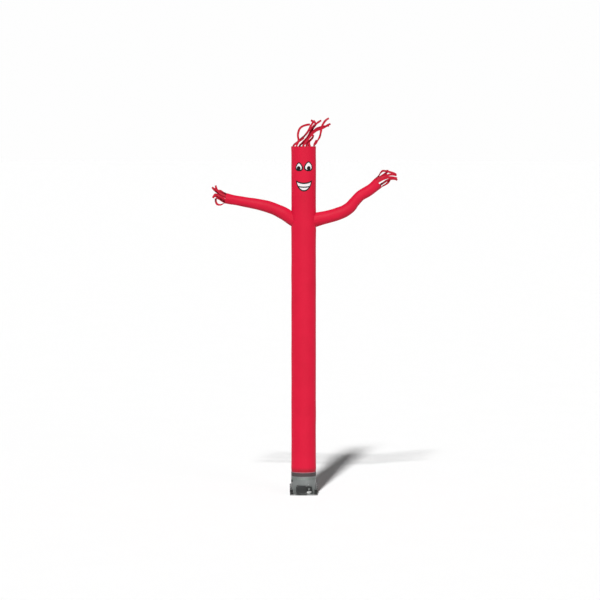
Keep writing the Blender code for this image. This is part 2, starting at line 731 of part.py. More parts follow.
def power_inlet(finish):
    """The round inlet on the small box: a rim round a shallow recess."""
    across, up = Vector((1, 0, 0)), Vector((0, 0, 1))
    bm = bmesh.new()
    rows = []
    for inwards, out in INLET_RIM:
        middle = Vector((INLET_X, SMALL_FRONT - GAP - out, INLET_Z))
        points = circle(middle, across, up, INLET_RADIUS - inwards, INLET_SIDES)
        rows.append([bm.verts.new(point) for point in points])
    for row, after in zip(rows, rows[1:]):
        for j in range(INLET_SIDES):
            k = (j + 1) % INLET_SIDES
            bm.faces.new((row[j], row[k], after[k], after[j]))
    bm.faces.new(rows[0])
    bm.faces.new(rows[-1])
    return place("power_inlet", bm, finish.drum)


def blower(finish):
    """The plain blower that the tube stands on."""
    base_plate(finish)
    corner_blocks(finish)
    drum(finish)
    side_bracket("bracket_left", -1, finish)
    side_bracket("bracket_right", 1, finish)
    near_wall = pillar("wall_clearance", BESIDE_DRUM, 0.0, SHOULDER)
    cut(side_lug(finish), near_wall)
    sides, heights = (SMALL_LEFT, SMALL_RIGHT), (SMALL_LOW, SMALL_HIGH)
    small = front_box("inlet_box", sides, heights, SMALL_FRONT, SMALL_CORNERS, finish.dark)
    cut(small, near_wall)
    sides, heights = (BOX_LEFT, BOX_RIGHT), (BOX_LOW, BOX_HIGH)
    large = front_box("control_box", sides, heights, BOX_FRONT, BOX_CORNERS, finish.box)
    cut(large, pillar("bead_clearance", BESIDE_BEADS, 0.0, SHOULDER))
    power_inlet(finish)
    outline = oval(PLAQUE_MIDDLE, PLAQUE_HEIGHT, PLAQUE_HALF_WIDTH, PLAQUE_HALF_HEIGHT)
    patch("blank_plate", outline, 0, finish.plaque, DRUM_RADIUS + BEAD_OUT)


def dancer(finish):
    """The inflated cloth: tube, sleeves, fringes, face and strap."""
    tube = body_tube(finish)
    clearance = pillar("tube_clearance", TUBE_RADIUS + 2 * GAP, SLEEVES_LOW, SLEEVES_HIGH)
    hands = (
        ("left", LEFT_SLEEVE, LEFT_HAND),
        ("right", RIGHT_SLEEVE, RIGHT_HAND),
    )
    for hand, rows, strips in hands:
        cut(tube, sleeve_hole(f"sleeve_hole_{hand}", rows))
        arm = sleeve(f"arm_{hand}", rows, finish)
        cut(arm, clearance)
        low, rim = cuff_loops(rows)
        out = sleeve_frames(rows)[-1][1]
        front, up = Vector((0, -1, 0)), Vector((0, 0, 1))
        comb(f"hand_fringe_{hand}", strips, low, rim, out, (front, up), finish.strip)
    right, back, up = Vector((1, 0, 0)), Vector((0, 1, 0)), Vector((0, 0, 1))
    rim = circle(TUBE_TOP * up, right, back, TUBE_BORE - GAP, TUBE_SIDES)
    low = [point - BAND_HEIGHT * up for point in rim]
    comb("hair_fringe", HAIR, low, rim, up, (right, back), finish.strip)
    for hand, row in EYES.items():
        eye(hand, row, finish)
    grin(finish)
    base_strap(finish)


def main():
    """Clear the scene and build the part."""
    for old in list(bpy.data.objects):
        bpy.data.objects.remove(old, do_unlink=True)
    finish = Finish()
    blower(finish)
    dancer(finish)


main()
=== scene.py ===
"""Finished look of an inflatable air dancer on its plain blower.

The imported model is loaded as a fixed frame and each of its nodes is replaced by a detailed
piece in the same place. Metres, +Z up, and the face looks along -Y with +X on its right as
it is seen. "Turn" is the angle round the tube from the middle of its front towards +X.
"""

import logging
from dataclasses import dataclass, field, replace
from enum import Enum
from functools import cache
from math import ceil, cos, pi, radians, sin, sqrt, tau
from typing import Callable, NamedTuple, Sequence

import bmesh
import bpy
import numpy as np
from mathutils import Matrix, Quaternion, Vector


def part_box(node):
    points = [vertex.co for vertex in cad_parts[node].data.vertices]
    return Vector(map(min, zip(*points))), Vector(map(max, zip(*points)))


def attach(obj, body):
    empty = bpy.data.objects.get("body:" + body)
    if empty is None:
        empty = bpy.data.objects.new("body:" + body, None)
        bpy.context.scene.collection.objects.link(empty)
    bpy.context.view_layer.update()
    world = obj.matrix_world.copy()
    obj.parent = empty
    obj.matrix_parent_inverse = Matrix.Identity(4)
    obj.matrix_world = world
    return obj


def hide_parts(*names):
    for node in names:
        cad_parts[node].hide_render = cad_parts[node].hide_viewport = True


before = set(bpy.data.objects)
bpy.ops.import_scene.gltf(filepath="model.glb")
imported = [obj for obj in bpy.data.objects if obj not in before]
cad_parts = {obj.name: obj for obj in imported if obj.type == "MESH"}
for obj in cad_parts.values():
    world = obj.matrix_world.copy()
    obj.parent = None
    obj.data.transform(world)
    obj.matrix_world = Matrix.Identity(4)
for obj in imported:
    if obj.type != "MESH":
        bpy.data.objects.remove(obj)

LOG = logging.getLogger("air_dancer")
BODY = "root"

Array = np.ndarray
Number = float | Array
Colour = tuple[float, float, float]
Row = tuple[float, ...]
Pair = tuple[float, float]
Pairs = Sequence[Pair]
Curve = Callable[[Array], Array]
Outline = Callable[[float], Pairs]
Mesh = bpy.types.Mesh
Piece = bpy.types.Object
Material = bpy.types.Material
Socket = bpy.types.NodeSocket

# ---- numbers and curves

BACK = np.array([0.0, 1.0, 0.0])
UP = np.array([0.0, 0.0, 1.0])


def ease(share: Number) -> Number:
    """Go smoothly from 0 to 1 as a share does."""
    share = np.clip(share, 0.0, 1.0)
    return share * share * (3 - 2 * share)


def unit(vectors: Array) -> Array:
    """Scale vectors in the last axis to length 1."""
    return vectors / np.linalg.norm(vectors, axis=-1, keepdims=True)


def steps(*stretches: Pair) -> Array:
    """Places along a line, each stretch with its own spacing.

    Args:
        stretches: (end, spacing) of each stretch, the first one only its start.

    Returns:
        The places in order.
    """
    places = [stretches[0][0]]
    for end, spacing in stretches[1:]:
        count = max(1, ceil((end - places[-1]) / spacing))
        places += np.linspace(places[-1], end, count + 1)[1:].tolist()
    return np.array(places)


def measured(line: Array) -> Array:
    """Distances of a line's points along it."""
    return np.concatenate(([0.0], np.cumsum(np.linalg.norm(np.diff(line, axis=0), axis=1))))


def through(knots: Array, places: Array, at: Array) -> tuple[Array, Array]:
    """Read a smooth curve that passes through rows of numbers.

    Args:
        knots: The rows, one for each place.
        places: Where along the curve the rows are.
        at: Where to read it.

    Returns:
        The rows read there, and their slopes.
    """
    slopes = np.gradient(knots, places, axis=0)
    i = np.clip(np.searchsorted(places, at, side="right") - 1, 0, len(places) - 2)
    span = (places[i + 1] - places[i])[..., None]
    t = (at - places[i])[..., None] / span
    start, end, rise, fall = knots[i], knots[i + 1], slopes[i] * span, slopes[i + 1] * span
    value = (2 * t**3 - 3 * t**2 + 1) * start + (t**3 - 2 * t**2 + t) * rise
    value += (3 * t**2 - 2 * t**3) * end + (t**3 - t**2) * fall
    slope = (6 * t**2 - 6 * t) * (start - end) + (3 * t**2 - 4 * t + 1) * rise
    slope += (3 * t**2 - 2 * t) * fall
    return value, slope / span


def round_axis(turn: Number, reach: Number, height: Number) -> Array:
    """Points round the upright axis, at turns, distances from it and heights."""
    turn, reach, height = np.broadcast_arrays(turn, reach, height)
    return np.stack([reach * np.sin(turn), -reach * np.cos(turn), height], -1)


def heading(turn: float) -> Vector:
    """The level way out from the axis at a turn."""
    return Vector((sin(turn), -cos(turn), 0))


def upright(height: float) -> Vector:
    """A height as a step up."""
    return Vector((0, 0, height))


def laid_out(columns: int, radius: Number, along: Array) -> Array:
    """UV grid in metres over a round wall: round it from its middle column, and along it."""
    across = (np.arange(columns + 1) / columns - 0.5) * tau * radius
    return np.stack(np.broadcast_arrays(across, along), -1)


@dataclass(frozen=True)
class Ripple:
    """Soft waves over a round wall, the same on every run."""

    seed: int
    height: float
    waves: tuple[int, int]  # fewest and most round the wall
    lengths: Pair  # shortest and longest along it
    count: int = 9

    def __call__(self, turn: Number, along: Number) -> Number:
        """Height of the waves at an angle round the wall and a distance along it."""
        rng = np.random.default_rng(self.seed)
        total = 0.0
        for _ in range(self.count):
            around = rng.integers(self.waves[0], self.waves[1] + 1)
            pace = rng.choice((-1, 1)) * tau / rng.uniform(*self.lengths)
            total = total + np.sin(around * turn + pace * along + rng.uniform(0, tau))
        return self.height * total / sqrt(self.count)


# ---- meshes


def linked(name: str, data: bpy.types.ID) -> Piece:
    """Put a mesh, lamp or camera into the scene as a named object at the origin."""
    piece = bpy.data.objects.new(name, data)
    bpy.context.scene.collection.objects.link(piece)
    return piece


def smoothed(mesh: Mesh, sharp: float = 40) -> Mesh:
    """Shade a mesh smooth but for edges sharper than an angle in degrees."""
    mesh.shade_smooth()
    mesh.set_sharp_from_angle(angle=radians(sharp))
    return mesh


def wall_mesh(name: str, outer: Array, inner: Array, uv: Array, wrapped: bool) -> Mesh:
    """Close two layers of points into one thin wall.

    Args:
        name: Name of the mesh.
        outer: Outer points, rows by columns by 3.
        inner: Inner points in the same order.
        uv: Distances over the cloth in metres, with one more column if it is wrapped.
        wrapped: Whether the last column joins the first.

    Returns:
        The closed mesh, faces outwards, with its UV map "cloth".
    """
    rows, columns = outer.shape[:2]
    spans = columns if wrapped else columns - 1
    last, end = rows - 1, columns - 1

    def quads(corners: Sequence[tuple[int, Array, Array]]) -> tuple[Array, Array]:
        """Point and UV numbers of quads whose corners are (layer, row, column)."""
        ids = [side * rows * columns + i * columns + j % columns for side, i, j in corners]
        spots = [i * uv.shape[1] + j for _, i, j in corners]
        return np.stack(ids, -1).reshape(-1, 4), np.stack(spots, -1).reshape(-1, 4)

    up, along = np.arange(last), np.arange(spans)
    i, j = np.meshgrid(up, along, indexing="ij")
    parts = [
        quads([(0, i, j), (0, i, j + 1), (0, i + 1, j + 1), (0, i + 1, j)]),
        quads([(1, i + 1, j), (1, i + 1, j + 1), (1, i, j + 1), (1, i, j)]),
        quads([(0, 0, along + 1), (0, 0, along), (1, 0, along), (1, 0, along + 1)]),
        quads([(0, last, along), (0, last, along + 1), (1, last, along + 1), (1, last, along)]),
    ]
    if not wrapped:
        parts.append(quads([(0, up, 0), (0, up + 1, 0), (1, up + 1, 0), (1, up, 0)]))
        parts.append(quads([(0, up + 1, end), (0, up, end), (1, up, end), (1, up + 1, end)]))
    faces = np.concatenate([part[0] for part in parts])
    spots = np.concatenate([part[1] for part in parts])
    points = np.concatenate([outer.reshape(-1, 3), inner.reshape(-1, 3)])
    a, b, c, d = (points[faces[:, k]] for k in range(4))
    if np.sum(a * np.cross(b, c)) + np.sum(a * np.cross(c, d)) < 0:
        faces, spots = faces[:, ::-1], spots[:, ::-1]
    mesh = bpy.data.meshes.new(name)
    mesh.from_pydata(points.tolist(), [], faces.tolist())
    layer = mesh.uv_layers.new(name="cloth")
    layer.data.foreach_set("uv", uv.reshape(-1, 2)[spots.ravel()].ravel())
    return smoothed(mesh, 50)


def solid_mesh(name: str, rings: Sequence, sharp: float = 40, looped: bool = False) -> Mesh:
    """Join rings of points one after another into a closed solid.

    Args:
        name: Name of the mesh.
        rings: Rings of points with equal counts.
        sharp: Angle in degrees past which an edge is shaded sharp.
        looped: Whether the last ring joins the first, where else both ends are closed.

    Returns:
        The closed mesh, faces outwards.
    """
    bm = bmesh.new()
    rows = [[bm.verts.new(point) for point in ring] for ring in rings]
    for row, after in zip(rows, rows[1:] + rows[:1] * looped):
        for j in range(len(row)):
            k = (j + 1) % len(row)
            bm.faces.new((row[j], row[k], after[k], after[j]))
    if not looped:
        bm.faces.new(rows[0][::-1])
        bm.faces.new(rows[-1])
    bmesh.ops.recalc_face_normals(bm, faces=bm.faces)
    mesh = bpy.data.meshes.new(name)
    bm.to_mesh(mesh)
    bm.free()
    return smoothed(mesh, sharp)


def flattened(piece: Piece) -> Piece:
    """Turn a piece and its modifiers into one plain mesh."""
    graph = bpy.context.evaluated_depsgraph_get()
    mesh = bpy.data.meshes.new_from_object(piece.evaluated_get(graph))
    piece.modifiers.clear()
    old, piece.data = piece.data, mesh
    mesh.name = piece.name
    bpy.data.meshes.remove(old)
    return piece


def cut(mesh: Mesh, tools: Sequence[Piece]) -> Piece:
    """Make a mesh a piece of its name and cut it with other objects, which are then removed."""
    piece = linked(mesh.name, mesh)
    for tool in tools:
        step = piece.modifiers.new(tool.name, "BOOLEAN")
        step.operation, step.solver, step.object = "DIFFERENCE", "EXACT", tool
    flattened(piece)
    for tool in tools:
        bpy.data.objects.remove(tool, do_unlink=True)
    return piece


def joined(name: str, meshes: Sequence[Mesh]) -> Mesh:
    """Put several meshes into one."""
    bm = bmesh.new()
    for mesh in meshes:
        bm.from_mesh(mesh)
        bpy.data.meshes.remove(mesh)
    made = bpy.data.meshes.new(name)
    bm.to_mesh(made)
    bm.free()
    return smoothed(made)


def cloth_area(piece: Piece) -> float:
    """Area of one side of a thin piece of cloth in square metres."""
    return sum(face.area for face in piece.data.polygons) / 2


# ---- node trees


class Nodes:
    """Short calls that fill one node tree."""

    def __init__(self, tree: bpy.types.NodeTree) -> None:
        """Work on a tree."""
        self.tree = tree

    def feed(self, socket: Socket, value: object) -> None:
        """Link another socket to a socket, or set its value."""
        if isinstance(value, Socket):
            self.tree.links.new(value, socket)
        else:
            socket.default_value = value

    def add(self, kind: str, inputs: dict | None = None, output: int | str = 0, **settings: object) -> Socket:
        """Make a node.

        Args:
            kind: Its type.
            inputs: Values or sockets by input name or number.
            output: Which of its outputs to return.
            settings: Its own properties.

        Returns:
            The output socket.
        """
        node = self.tree.nodes.new(kind)
        for key, value in settings.items():
            setattr(node, key, value)
        for key, value in (inputs or {}).items():
            self.feed(node.inputs[key], value)
        return node.outputs[output]

    def math(self, operation: str, *values: object, clamp: bool = False) -> Socket:
        """One step of arithmetic."""
        return self.add("ShaderNodeMath", dict(enumerate(values)), operation=operation, use_clamp=clamp)

    def times(self, first: object, second: object) -> Socket:
        """Product of two values."""
        return self.math("MULTIPLY", first, second)


class Surface(Nodes):
    """The nodes of one material round its Principled shader."""

    def __init__(self, name: str, **constants: float) -> None:
        """Start a material, its plain values set on the shader itself."""
        self.material = bpy.data.materials.new(name)
        self.material.use_nodes = True
        super().__init__(self.material.node_tree)
        self.shader = self.tree.nodes["Principled BSDF"]
        for key, value in constants.items():
            self.shader.inputs[key.replace("_", " ")].default_value = value

    def place(self) -> Socket:
        """Place on the piece in metres."""
        return self.add("ShaderNodeTexCoord", output="Object")

    def cloth(self) -> tuple[Socket, Socket]:
        """Distances across and along the cloth in metres."""
        uv = self.add("ShaderNodeUVMap", uv_map="cloth")
        return self.part(uv, "X"), self.part(uv, "Y")

    def part(self, vector: Socket, axis: str) -> Socket:
        """One number of a vector."""
        return self.add("ShaderNodeSeparateXYZ", {0: vector}, axis)

    def stretched(self, vector: Socket, scale: Colour) -> Socket:
        """A vector scaled along its axes."""
        return self.add("ShaderNodeMapping", {"Vector": vector, "Scale": scale})

    def noise(self, vector: Socket, scale: float, detail: float = 2.0) -> Socket:
        """Soft noise from about 0.3 to 0.7, its features 1 / scale metres apart."""
        inputs = {"Vector": vector, "Scale": scale, "Detail": detail, "Roughness": 0.55}
        return self.add("ShaderNodeTexNoise", inputs)

    def wave(self, way: Socket, length: float) -> Socket:
        """A sine wave, its crests a length apart."""
        return self.math("SINE", self.times(way, tau / length))

    def span(self, value: object, low: float, high: float, *ends: float) -> Socket:
        """Move a value from low..high to the two ends, or to 0..1, and hold it there."""
        inputs = dict(enumerate((value, low, high, *ends)))
        return self.add("ShaderNodeMapRange", inputs, interpolation_type="SMOOTHSTEP")

    def tint(self, share: object, first: object, second: object) -> Socket:
        """Mix two colours, the second by a share."""
        first, second = (ink if isinstance(ink, Socket) else (*ink, 1.0) for ink in (first, second))
        return self.add("ShaderNodeMix", {0: share, 6: first, 7: second}, 2, data_type="RGBA")

    def total(self, *heights: tuple[object, float]) -> Socket:
        """Sum of values, each times its own depth in metres."""
        made = self.times(*heights[0])
        for value, depth in heights[1:]:
            made = self.math("MULTIPLY_ADD", value, depth, made)
        return made

    def close(self, colour: object, roughness: object, height: object) -> Material:
        """Join colour, roughness and relief in metres to the shader, and give the material."""
        self.feed(self.shader.inputs["Base Color"], colour)
        self.feed(self.shader.inputs["Roughness"], roughness)
        bump = self.add("ShaderNodeBump", {"Height": height, "Distance": 1.0, "Strength": 1.0})
        self.feed(self.shader.inputs["Normal"], bump)
        return self.material


# ---- finishes


def share_of(colour: Colour, share: float) -> Colour:
    """A colour times a share, which darkens it."""
    return tuple(share * part for part in colour)


@dataclass(frozen=True)
class Nylon:
    """Crisp ripstop nylon, its weave laid out in metres over the cloth."""

    name: str
    colour: Colour
    deep: Colour
    sheen: float = 0.12
    gloss: float = 0.12
    roughness: float = 0.58
    weave: float = 0.0012
    ripstop: float = 0.0055
    crease: float = 0.0008
    cut_edge: float = 0.0  # half width of a strip whose cut edges fray
    soiled: Pair | None = None  # heights over which the painted shade above the strap fades out
    # Colour of that painted shade.
    grime: Colour = (0.20, 0.012, 0.018)

    def make(self) -> Material:
        """Build the material."""
        sheen = {"Sheen_Weight": self.sheen, "Sheen_Roughness": 0.4, "Sheen_Tint": (*self.colour, 1.0)}
        made = Surface(self.name, **sheen, Specular_IOR_Level=self.gloss, Diffuse_Roughness=0.5)
        across, along = made.cloth()
        place = made.place()
        threads = [made.math("PINGPONG", way, self.ripstop / 2) for way in (across, along)]
        lines = made.span(made.math("MINIMUM", *threads), 0.0, 0.0004, 1.0, 0.0)
        weave = made.times(made.wave(across, self.weave), made.wave(along, self.weave))
        soft = made.noise(made.stretched(place, (1.0, 1.0, 0.45)), 9.0, 3.0)
        crinkle = made.noise(place, 60.0, 3.0)
        dye = made.noise(place, 2.2, 4.0)
        colour = made.tint(made.span(dye, 0.3, 0.75), self.colour, self.deep)
        colour = made.tint(made.times(lines, 0.22), colour, self.deep)
        rough = made.span(crinkle, 0.3, 0.7, self.roughness - 0.06, self.roughness + 0.08)
        # Painted shade: the cloth darker just above the strap, in uneven patches.
        if self.soiled:
            low = made.span(made.part(place, "Z"), *self.soiled, 0.85, 0.0)
            patchy = made.span(made.noise(place, 14.0, 5.0), 0.3, 0.7, 0.7, 1.0)
            colour = made.tint(made.times(low, patchy), colour, self.grime)
        if self.cut_edge:
            off = made.math("ABSOLUTE", across)
            edge = made.span(off, self.cut_edge - 0.0022, self.cut_edge - 0.0004, 0.0, 0.6)
            loose = made.span(made.noise(place, 900.0, 2.0), 0.35, 0.6)
            colour = made.tint(made.times(edge, loose), colour, share_of(self.deep, 0.5))
        height = made.total((soft, self.crease), (crinkle, 0.00025), (lines, 0.00010), (weave, 0.000015))
        return made.close(colour, rough, height)


@dataclass(frozen=True)
class Webbing:
    """Woven strap with a sewn-on upper edging, lighter there as a painted highlight."""

    name: str
    colour: Colour
    # Colour of the top edge, lighter as a painted highlight.
    binding: Colour
    width: float
    binding_width: float
    rib: float = 0.0035
    twill: float = 0.0028
    dust: Colour = (0.12, 0.10, 0.09)

    def make(self) -> Material:
        """Build the material."""
        made = Surface(self.name, Sheen_Weight=0.08, Sheen_Roughness=0.5, Specular_IOR_Level=0.1)
        along, across = made.cloth()
        place = made.place()
        ribs = made.wave(across, self.rib)
        twill = made.wave(made.math("ADD", across, along), self.twill)
        fluff = made.noise(place, 350.0, 4.0)
        edge = self.width - self.binding_width
        # Top edge: raised relief, and a lighter colour that is a painted highlight.
        bound_and_highlight = made.span(across, edge - 0.0006, edge + 0.0006)
        dusty = made.span(made.noise(place, 60.0, 8.0), 0.5, 0.75, 0.0, 0.12)
        colour = self.colour
        for share, other in (
            (made.span(fluff, 0.3, 0.7, 0.0, 0.5), share_of(self.colour, 0.55)),
            (made.span(twill, -1.0, 1.0, 0.0, 0.25), share_of(self.colour, 0.5)),
            (bound_and_highlight, self.binding),
            (dusty, self.dust),
        ):
            colour = made.tint(share, colour, other)
        height = made.total((ribs, 0.00012), (twill, 0.00010), (fluff, 0.0002), (bound_and_highlight, 0.0004))
        return made.close(colour, made.span(fluff, 0.3, 0.7, 0.78, 0.95), height)


class Grain(Enum):
    """Relief of a hard surface: features per metre, depth in metres and stretch."""

    ORANGE_PEEL = (420.0, 0.00008, (1, 1, 1))
    SPARK = (1500.0, 0.00006, (1, 1, 1))
    RUBBER = (700.0, 0.00010, (1, 1, 1))
    BRUSHED = (1200.0, 0.00003, (0.05, 0.05, 1))
    GLOSS = (70.0, 0.00004, (1, 1, 1))
    TWISTED = (2400.0, 0.00008, (1, 1, 0.3))


@dataclass(frozen=True)
class Coating:
    """Paint, plastic, rubber or metal with the marks of use."""

    name: str
    colour: Colour
    grain: Grain
    roughness: float
    metallic: float = 0.0
    scuff: Colour = (0.30, 0.30, 0.29)
    scuffed: float = 0.25
    worn: Row = ()  # heights of ridges rubbed down to the metal
    ridge: float = 0.008
    band: Pair | None = None  # heights of a darker, greener band, a painted reflection
    band_colour: Colour = (0.24, 0.27, 0.25)
    dust: Colour = (0.26, 0.245, 0.22)
    dusty: float = 0.2  # how much of it lies there near the ground
    dust_top: float = 0.12  # height where there is none left
    gloss: float = 0.5
    coat: float = 0.0

    def make(self) -> Material:
        """Build the material."""
        coat = {"Coat_Weight": self.coat, "Coat_Roughness": 0.18}
        made = Surface(self.name, Metallic=self.metallic, Specular_IOR_Level=self.gloss, **coat)
        place = made.place()
        up = made.part(place, "Z")
        cloud = made.noise(place, 6.0, 5.0)
        colour = made.tint(made.span(cloud, 0.3, 0.7, 0.0, 0.5), self.colour, share_of(self.colour, 0.8))
        # Painted reflection: a darker, greener band between two heights.
        if self.band:
            low, high = self.band
            above = made.span(up, low, low + 0.004)
            below = made.span(up, high - 0.004, high, 1.0, 0.0)
            colour = made.tint(made.times(above, below), colour, self.band_colour)
        scratch = made.noise(made.stretched(place, (1.0, 1.0, 0.12)), 260.0, 3.0)
        patchy = made.span(made.noise(place, 17.0, 4.0), 0.5, 0.68)
        marks = made.times(made.span(scratch, 0.60, 0.68), patchy)
        colour = made.tint(made.times(marks, self.scuffed), colour, self.scuff)
        rubbed = 0.0
        for middle in self.worn:
            away = made.math("ABSOLUTE", made.math("SUBTRACT", up, middle))
            near = made.span(away, 0.0, self.ridge, 1.0, 0.0)
            bare = made.times(near, made.span(made.noise(place, 90.0, 4.0), 0.48, 0.62))
            colour = made.tint(made.times(bare, 0.75), colour, self.scuff)
            rubbed = made.math("ADD", bare, rubbed)
        low = made.span(up, 0.0, self.dust_top, self.dusty, 0.0)
        dust = made.times(low, made.span(made.noise(place, 70.0, 8.0), 0.30, 0.70))
        colour = made.tint(dust, colour, self.dust)
        count, depth, stretch = self.grain.value
        grain = made.noise(made.stretched(place, stretch), count, 3.0)
        rough = made.span(cloud, 0.3, 0.7, self.roughness - 0.06, self.roughness + 0.08)
        rough = made.math("MULTIPLY_ADD", dust, 0.3, rough, clamp=True)
        return made.close(colour, rough, made.total((grain, depth), (marks, -0.00004), (rubbed, -0.00003)))


STRIP_WIDTH = 0.040
SLEEVE_RED = Nylon("sleeve_nylon", (0.47, 0.0052, 0.029), (0.43, 0.0044, 0.025))
# Its foot carries painted shade just above the strap.
RED = replace(SLEEVE_RED, name="red_nylon", soiled=(0.436, 0.53))
STRIP_RED = replace(
    SLEEVE_RED, name="strip_nylon", colour=(0.40, 0.006, 0.024), deep=(0.32, 0.005, 0.018),
    crease=0.0004, cut_edge=STRIP_WIDTH / 2,
)
WHITE = Nylon("white_nylon", (0.60, 0.57, 0.57), (0.55, 0.52, 0.52), sheen=0.05, crease=0.0005)
BLACK = replace(
    WHITE, name="black_nylon", colour=(0.009, 0.007, 0.008), deep=(0.013, 0.010, 0.011), sheen=0.0, gloss=0.08
)
# Its lighter top edge colour is a painted highlight.
STRAP = Webbing("strap_webbing", (0.062, 0.050, 0.051), (0.26, 0.12, 0.145), 0.078, 0.012)
BEADS = (0.060, 0.298)  # heights of the drum's rolled beads
PLATE_EDGE = 0.018  # height of the plate's upper edge
# The drum's band just below the strap is a painted reflection.
DRUM_PAINT = Coating(
    "drum_paint", (0.16, 0.171, 0.168), Grain.ORANGE_PEEL, 0.42, metallic=0.3, worn=BEADS, dusty=0.15,
    band=(0.278, 0.318), band_colour=(0.125, 0.150, 0.138),
)
PLATE_PAINT = Coating(
    "plate_paint", (0.145, 0.147, 0.147), Grain.ORANGE_PEEL, 0.5, worn=(PLATE_EDGE,), ridge=0.003,
    dusty=0.18, gloss=0.3,
)
GREY_PLASTIC = Coating("grey_plastic", (0.12, 0.13, 0.125), Grain.SPARK, 0.45, gloss=0.3, dusty=0.1)
BOX_PLASTIC = replace(
    GREY_PLASTIC, name="box_plastic", colour=(0.0125, 0.0135, 0.0135), roughness=0.5, scuff=(0.07, 0.07, 0.07)
)
DARK_PLASTIC = replace(
    GREY_PLASTIC, name="dark_plastic", colour=(0.0055, 0.0062, 0.0062), roughness=0.48,
    scuff=(0.05, 0.05, 0.05), dusty=0.08,
)
RUBBER = Coating(
    "block_rubber", (0.009, 0.010, 0.010), Grain.RUBBER, 0.8, scuff=(0.04, 0.04, 0.04), dusty=0.16, gloss=0.2
)
PLAQUE = Coating(
    "plaque_plastic", (0.85, 0.86, 0.85), Grain.GLOSS, 0.25, scuff=(0.40, 0.40, 0.39), scuffed=0.15, coat=0.6
)
STEEL = Coating("zinc_steel", (0.50, 0.50, 0.49), Grain.BRUSHED, 0.32, metallic=1.0, scuff=(0.25, 0.23, 0.2))
RED_THREAD = Coating("red_thread", (0.36, 0.006, 0.020), Grain.TWISTED, 0.6, scuffed=0.0, dusty=0.0)
BLACK_THREAD = replace(RED_THREAD, name="black_thread", colour=(0.020, 0.018, 0.019))
WHITE_THREAD = replace(RED_THREAD, name="white_thread", colour=(0.72, 0.70, 0.70))


Finish = Nylon | Webbing | Coating


@cache
def material(finish: Finish) -> Material:
    """The material of a finish, made once."""
    return finish.make()


# ---- repeated parts


class Tree(Nodes):
    """A geometry tree that can be run on a mesh of points or lines."""

    sockets: dict[str, str]
    name: str

    def __init__(self) -> None:
        """Build the tree, with named inputs and one geometry output."""
        super().__init__(bpy.data.node_groups.new(self.name, "GeometryNodeTree"))
        self.tree.interface.new_socket("Geometry", in_out="OUTPUT", socket_type="NodeSocketGeometry")
        for label, kind in {"Geometry": "Geometry", **self.sockets, "Material": "Material"}.items():
            self.tree.interface.new_socket(label, in_out="INPUT", socket_type="NodeSocket" + kind)
        source = self.tree.nodes.new("NodeGroupInput").outputs
        real = self.add("GeometryNodeRealizeInstances", {0: self.instances(source)})
        dressed = self.add("GeometryNodeSetMaterial", {0: real, "Material": source["Material"]})
        self.feed(self.tree.nodes.new("NodeGroupOutput").inputs[0], dressed)

    def instances(self, source: bpy.types.NodeOutputs) -> Socket:
        """Build the nodes between the inputs and the instances."""
        raise NotImplementedError

    def way(self) -> Socket:
        """Read the vector that each point carries."""
        node, kind = "GeometryNodeInputNamedAttribute", "FLOAT_VECTOR"
        return self.add(node, {"Name": "way"}, "Attribute", data_type=kind)

    def put(self, points: Socket, instance: Socket, turn: Socket, **more: Socket) -> Socket:
        """Put an instance at every point."""
        inputs = {"Points": points, "Instance": instance, "Rotation": turn, **more}
        return self.add("GeometryNodeInstanceOnPoints", inputs)

    def run(self, piece: Piece, **values: object) -> Piece:
        """Run the tree on a piece with named inputs, and keep the result as its plain mesh."""
        step = piece.modifiers.new(self.name, "NODES")
        step.node_group = self.tree
        for item in self.tree.interface.items_tree:
            label = item.name.lower()
            if item.in_out == "INPUT" and label in values:
                step[item.identifier] = values[label]
        return flattened(piece)


class StitchTree(Tree):
    """Lays stitches along lines that carry the way out of the cloth."""

    name = "stitches"
    sockets = {**dict.fromkeys(("Pitch", "Length", "Thread", "Swing"), "Float"), "Seed": "Int"}

    def instances(self, source: bpy.types.NodeOutputs) -> Socket:
        """Build the nodes."""
        lines = self.add("GeometryNodeMeshToCurve", {"Mesh": source["Geometry"]})
        pitch = {"Curve": lines, "Length": source["Pitch"]}
        spots = self.add("GeometryNodeResampleCurve", pitch, mode="LENGTH")
        bead = self.add("GeometryNodeMeshUVSphere", {"Segments": 6, "Rings": 4, "Radius": 0.5})
        thread = source["Thread"]
        size = self.add("ShaderNodeCombineXYZ", {0: source["Length"], 1: thread, 2: thread})
        bead = self.add("GeometryNodeTransform", {"Geometry": bead, "Scale": size})
        bead = self.add("GeometryNodeSetShadeSmooth", {"Geometry": bead})
        way = {"Vector": self.add("GeometryNodeInputTangent")}
        turn = self.add("FunctionNodeAlignRotationToVector", way, axis="X")
        out = {"Rotation": turn, "Vector": self.way()}
        turn = self.add("FunctionNodeAlignRotationToVector", out, axis="Z", pivot_axis="X")
        odd = self.math("MODULO", self.add("GeometryNodeInputIndex"), 2.0)
        swing = self.times(self.math("MULTIPLY_ADD", odd, 2.0, -1.0), source["Swing"])
        slack = self.add("FunctionNodeRandomValue", {2: -0.06, 3: 0.06, "Seed": source["Seed"]}, 1)
        swing = {"Axis": (0, 0, 1), "Angle": self.math("ADD", swing, slack)}
        sway = self.add("FunctionNodeAxisAngleToRotation", swing)
        turn = self.add("FunctionNodeRotateRotation", {0: turn, 1: sway}, rotation_space="LOCAL")
        return self.put(spots, bead, turn)


class RepeatTree(Tree):
    """Puts one pattern piece at every point, turned by the angles that it carries."""

    name = "repeats"
    sockets = {"Part": "Object", "Size": "Float"}

    def instances(self, source: bpy.types.NodeOutputs) -> Socket:
        """Build the nodes."""
        part = self.add("GeometryNodeObjectInfo", {"Object": source["Part"]}, "Geometry")
        turn = self.add("FunctionNodeEulerToRotation", {0: self.way()})
        return self.put(source["Geometry"], part, turn, Scale=source["Size"])


